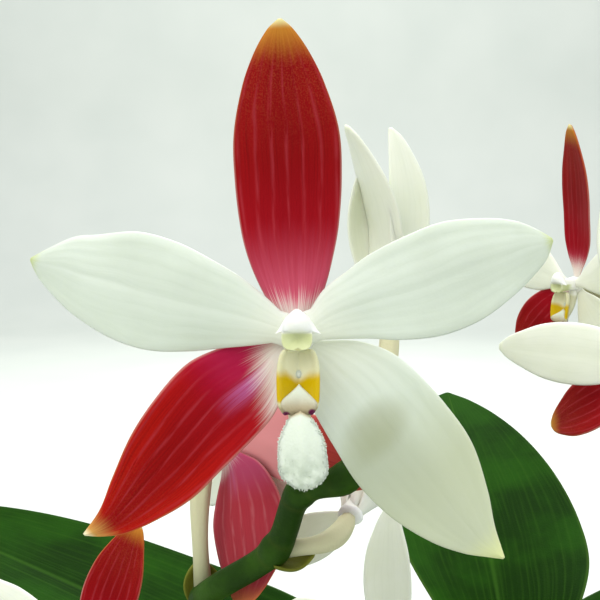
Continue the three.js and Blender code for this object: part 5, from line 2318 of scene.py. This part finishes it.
@dataclass
class Spike:
    """A zigzag flower spike with a swollen joint, a bract and a stalked bloom at each bend, and buds.

    Attributes:
        name: Its node.
        path: The joints' places.
        blooms: Which bloom hangs from which joint.
        buds: (joint, reach, size) of each bud.
        bare: The joints without a bract.
    """

    name: str
    path: Sequence[Point]
    blooms: dict[int, Pose]
    buds: Sequence[tuple[int, Point, float]]
    bare: tuple[int, ...] = ()
    radius: float = 2.15
    ovary_reach: float = 1.85
    ovary_bend: float = 5.0
    steps: int = 260
    sides: int = 32
    stalk_steps: int = 48
    stalk_sides: int = 24

    def stalk(self, joint: int, pose: Pose) -> Skin:
        """Builds the stalk and ribbed ovary that carry a bloom, a tube along a Bezier curve.

        Args:
            joint: Where it leaves the spike.
            pose: Where the bloom stands.

        Returns:
            The stalk, green at the joint and cream at the bloom.
        """
        start = np.array(self.path[joint], dtype=float)
        end, behind = pose.behind(self.ovary_reach), pose.behind(self.ovary_reach + self.ovary_bend)
        line = bezier(start, start + 6 * unit(behind - start), behind, end, self.stalk_steps)
        t = np.linspace(0, 1, self.stalk_steps)
        around = circle(self.stalk_sides)
        thick = through([(0, 1.45), (0.3, 1.15), (0.7, 1.45), (0.95, 1.25), (1, 1)], t)
        ribs = 0.05 * np.cos(6 * around) * np.clip((t[:, None] - 0.4) * 4, 0, 1)
        early = 0.0 if joint in self.bare else 0.35
        pale = through([(0, 0.02), (0.1, early), (0.3, 0.8), (0.7, 0.95), (1, 1)], t)
        marks = np.stack([t, pale, np.zeros_like(t)], axis=1)
        return tube(line, thick[:, None] * (1 + ribs), self.stalk_sides, marks)

    def bract(self, joint: int, pose: Pose) -> Skin:
        """Builds the bract under a bloom's stalk, a pointed scale wrapped round its lower side.

        The scale is a strip of a cylinder round the stalk's first millimetres. Its width shrinks to a point
        and its tip stands off.

        Args:
            joint: Its joint.
            pose: Where the bloom stands.

        Returns:
            The scale.
        """
        knots = np.array(self.path, dtype=float)
        onward = unit(knots[joint + 1] - knots[joint - 1])
        along = unit(unit(pose.behind(self.ovary_reach + self.ovary_bend) - knots[joint]) + 0.3 * onward)
        away = unit(along * (along @ onward) - onward)
        side = np.cross(along, away)
        t, s = blade_grid(19, 13, 0.4, 0.4)
        wrap = s * 1.35 * (1 - t**1.8 * 0.95)
        stand = 2.2 + 0.9 * np.sin(math.pi * t) + 0.3 * t**2
        sheet = (
            knots[joint]
            + along * (t * 5.6 - 0.6)[..., None]
            + away * (stand * np.cos(wrap))[..., None]
            + side * (stand * np.sin(wrap))[..., None]
        )
        half = 0.34 * np.sqrt(np.clip(np.minimum(1 - np.abs(s), np.minimum(t, 1 - t) * 3) * 2.5, 0, 1))
        skin = blade(sheet, half, np.stack([t, s], axis=-1))
        share = skin.marks[:, 0]
        return replace(skin, marks=np.stack([share, np.zeros_like(share), 0.6 + 0.3 * share**2], axis=1))

    def bud(self, joint: int, reach: Point, size: float) -> list[Skin]:
        """Builds a bud on its short stalk, a ball drawn out to a blunt point with two shallow seams.

        Args:
            joint: Where it leaves the spike.
            reach: From the joint to the bud's middle.
            size: The bud's radius.

        Returns:
            The stalk and the bud.
        """
        start = np.array(self.path[joint], dtype=float)
        way = np.array(reach, dtype=float)
        t = np.linspace(0, 1, 12)
        line = start + way * t[:, None]
        marks = np.stack([t, 0.1 + 0.3 * t, np.zeros_like(t)], axis=1)
        along = unit(way)
        first = unit(np.cross(along, np.array([0.2, 0.9, 0.4])))
        turn = np.stack([first, along, np.cross(first, along)])

        def shape(p: np.ndarray) -> np.ndarray:
            """Draws the ball out along its stalk and pinches its seams.

            Args:
                p: Corners of a ball of radius 1.

            Returns:
                The bud's corners.
            """
            seam = 1 - 0.07 * np.exp(-((p[:, :1] / 0.12) ** 2))
            drawn = p * seam * np.array([1, 1.35, 1]) * (1 - 0.12 * p[:, 1:2])
            return drawn * size @ turn + start + way

        def tone(points: np.ndarray) -> np.ndarray:
            """Lets the bud go from green at its foot to cream at its point."""
            height = (points - start - way) @ along / size
            return np.stack([height, np.clip(0.62 + 0.3 * height, 0, 1), np.zeros(len(points))], axis=1)

        return [tube(line, np.full(12, 0.9), 16, marks), moulded(32, 24, shape, tone)]

    def build(self, palette: Palette) -> bpy.types.Object:
        """Builds the spike.

        Args:
            palette: The finishes.

        Returns:
            The piece.
        """
        line = smooth_path(self.path, self.steps)
        t = np.linspace(0, 1, self.steps)
        thick = self.radius * (1.12 - 0.35 * t)
        knots = np.array(self.path, dtype=float)
        near = np.linalg.norm(line[:, None] - knots[None, 1:-1], axis=2)
        swell = 0.22 * np.exp(-((near / 1.7) ** 2)).sum(axis=1)
        scar = 0.05 * np.exp(-(((near - 1.9) / 0.3) ** 2)).sum(axis=1)
        marks = np.stack([t, np.zeros_like(t), np.clip(scar, 0, 1)], axis=1)
        skins = [tube(line, thick * (1 + swell), self.sides, marks)]
        skins += [self.stalk(joint, pose) for joint, pose in self.blooms.items()]
        skins += [self.bract(joint, pose) for joint, pose in self.blooms.items() if joint not in self.bare]
        for joint, reach, size in self.buds:
            skins += self.bud(joint, reach, size)
        piece = write_mesh(self.name.replace("spike", "flower_spike"), skins, [palette.stalk])
        return seat(piece, Slot.SPIKE, self.name)


def make_spikes(front: Pose) -> tuple[Spike, Spike]:
    """Lays out the two spikes.

    Args:
        front: The front bloom's place.

    Returns:
        The front and the back spike.
    """
    pose = {bloom.name: bloom.pose for bloom in BLOOMS}
    front_spike = Spike(
        "front_spike",
        [
            (-5.2, -5.8, 98.5), (-29, -16, 118), (-59, -36, 148), (-63.5, -64.5, 171), (-53, -71.5, 181.5),
            (-49.5, -74.5, 190.5), (-44, -77, 193.2), (-40.2, -75.6, 197.7), (-36.9, -72.2, 201.4),
        ],
        {
            1: pose["low_right_flower"], 2: pose["low_left_flower"], 3: pose["left_flower"],
            4: pose["lower_flower"], 5: front, 7: pose["upper_flower"],
        },
        [(8, (1.6, 4.4, -1.8), 2.6), (8, (-1, -2.5, 4.6), 2)],
        bare=(5,),
    )
    back_spike = Spike(
        "back_spike",
        [
            (7.2, -1.2, 103), (12, -4, 121), (21, -20, 148), (23, -27, 171), (20, -26, 190), (15, -14, 205),
            (22, -8, 217),
        ],
        {4: pose["far_right_flower"], 5: pose["right_flower"]},
        [(6, (5, 1, 5), 3.2), (6, (-2, 6, 3), 2.6)],
    )
    return front_spike, back_spike


# Studio


@dataclass
class Studio:
    """A pale sweep, soft lights and a camera at the photograph's viewing angle. Sizes are in metres."""

    eye: Point = (-0.049713, -0.178907, 0.227364)
    pitch: float = 6.5
    lens: float = 50.0
    sensor: float = 36.0
    sweep_radius: float = 0.5
    sweep_start: float = 1.3
    sweep_top: float = 2.4
    sweep_half: float = 14.0
    focus: Point = (-0.02, -0.05, 0.17)

    def floor(self) -> None:
        """Builds a sweep: a level floor that curves up into a wall behind the plant."""
        turn = np.linspace(0, math.pi / 2, 16)
        radius, reach = self.sweep_radius, self.sweep_start
        y = np.concatenate([[-self.sweep_half], reach + radius * np.sin(turn), [reach + radius]])
        z = np.concatenate([[0.0], radius * (1 - np.cos(turn)), [self.sweep_top]])
        x = np.array([-self.sweep_half, self.sweep_half])
        sheet = np.stack(np.broadcast_arrays(x[None, :], y[:, None], z[:, None]), axis=-1)
        mesh = bpy.data.meshes.new("floor")
        faces = grid_quads(np.arange(2 * len(y)).reshape(-1, 2))
        mesh.from_pydata(sheet.reshape(-1, 3).tolist(), [], faces.tolist())
        mesh.shade_smooth()
        material, n, shader = new_finish("Pale floor")
        speckle = n.noise(n.place(), 6.0, 2.0)
        n.feed(shader["Base Color"], n.mix(n.between(speckle, 0.2, 0.8), "#cbcfc9", "#d1d4ce"))
        shader["Roughness"].default_value = 0.9
        mesh.materials.append(material)
        floor = bpy.data.objects.new("floor", mesh)
        bpy.context.scene.collection.objects.link(floor)

    def light(self, name: str, place: Point, toward: Point, size: float, power: float, colour: Point) -> None:
        """Hangs a soft square light.

        Args:
            name: Its name.
            place: Where it hangs.
            toward: What it faces.
            size: Its side.
            power: Its power, in watts.
            colour: Its colour.
        """
        lamp = bpy.data.lights.new(name, "AREA")
        lamp.size = size
        lamp.energy = power
        lamp.color = colour
        holder = bpy.data.objects.new(name, lamp)
        holder.location = place
        holder.rotation_mode = "QUATERNION"
        holder.rotation_quaternion = (Vector(toward) - Vector(place)).to_track_quat("-Z", "Y")
        bpy.context.scene.collection.objects.link(holder)

    def world(self) -> None:
        """Fills the room with an even pale light."""
        world = bpy.data.worlds.new("Studio")
        world.use_nodes = True
        back = world.node_tree.nodes["Background"]
        back.inputs["Color"].default_value = (0.93, 0.97, 1.0, 1)
        back.inputs["Strength"].default_value = 0.75
        bpy.context.scene.world = world

    def camera(self) -> None:
        """Sets the camera level with the front bloom, looking a little down."""
        lens = bpy.data.cameras.new("camera")
        lens.lens = self.lens
        lens.sensor_width = self.sensor
        lens.clip_start = 0.01
        lens.clip_end = 20
        camera = bpy.data.objects.new("camera", lens)
        camera.location = self.eye
        camera.rotation_euler = (math.radians(90 - self.pitch), 0, 0)
        bpy.context.scene.collection.objects.link(camera)
        bpy.context.scene.camera = camera

    def build(self) -> None:
        """Builds the studio."""
        self.floor()
        self.world()
        self.camera()
        self.light("key", (-0.5, -0.7, 1.05), self.focus, 0.9, 8.4, (1.0, 0.99, 0.96))
        self.light("fill", (0.9, -0.6, 0.5), self.focus, 0.9, 2.5, (0.94, 0.97, 1.0))
        self.light("behind", (0.1, 0.8, 0.9), self.focus, 0.9, 7.0, (0.98, 1.0, 0.97))
        self.light("wall", (0.0, 0.3, 1.5), (0.0, 1.8, 0.5), 1.2, 18.0, (0.97, 1.0, 0.98))
        bpy.context.scene.view_settings.view_transform = "Standard"


def main() -> None:
    """Builds the studio, then the plant from the pot upwards."""
    logging.basicConfig(level=logging.INFO, format="%(name)s: %(message)s")
    Studio().build()
    palette = Palette()
    pot = Pot()
    crown = Crown()
    pot.build(palette)
    BarkBed(pot).build(palette)
    crown.build(palette)
    for root in ROOTS:
        root.build(crown, palette)
    for leaf in LEAVES:
        leaf.build(crown, palette)
    front = FrontBloom()
    for spike in make_spikes(front.pose):
        spike.build(palette)
    front.build(palette)
    for bloom in BLOOMS:
        bloom.build(palette)


if __name__ == "__main__":
    main()
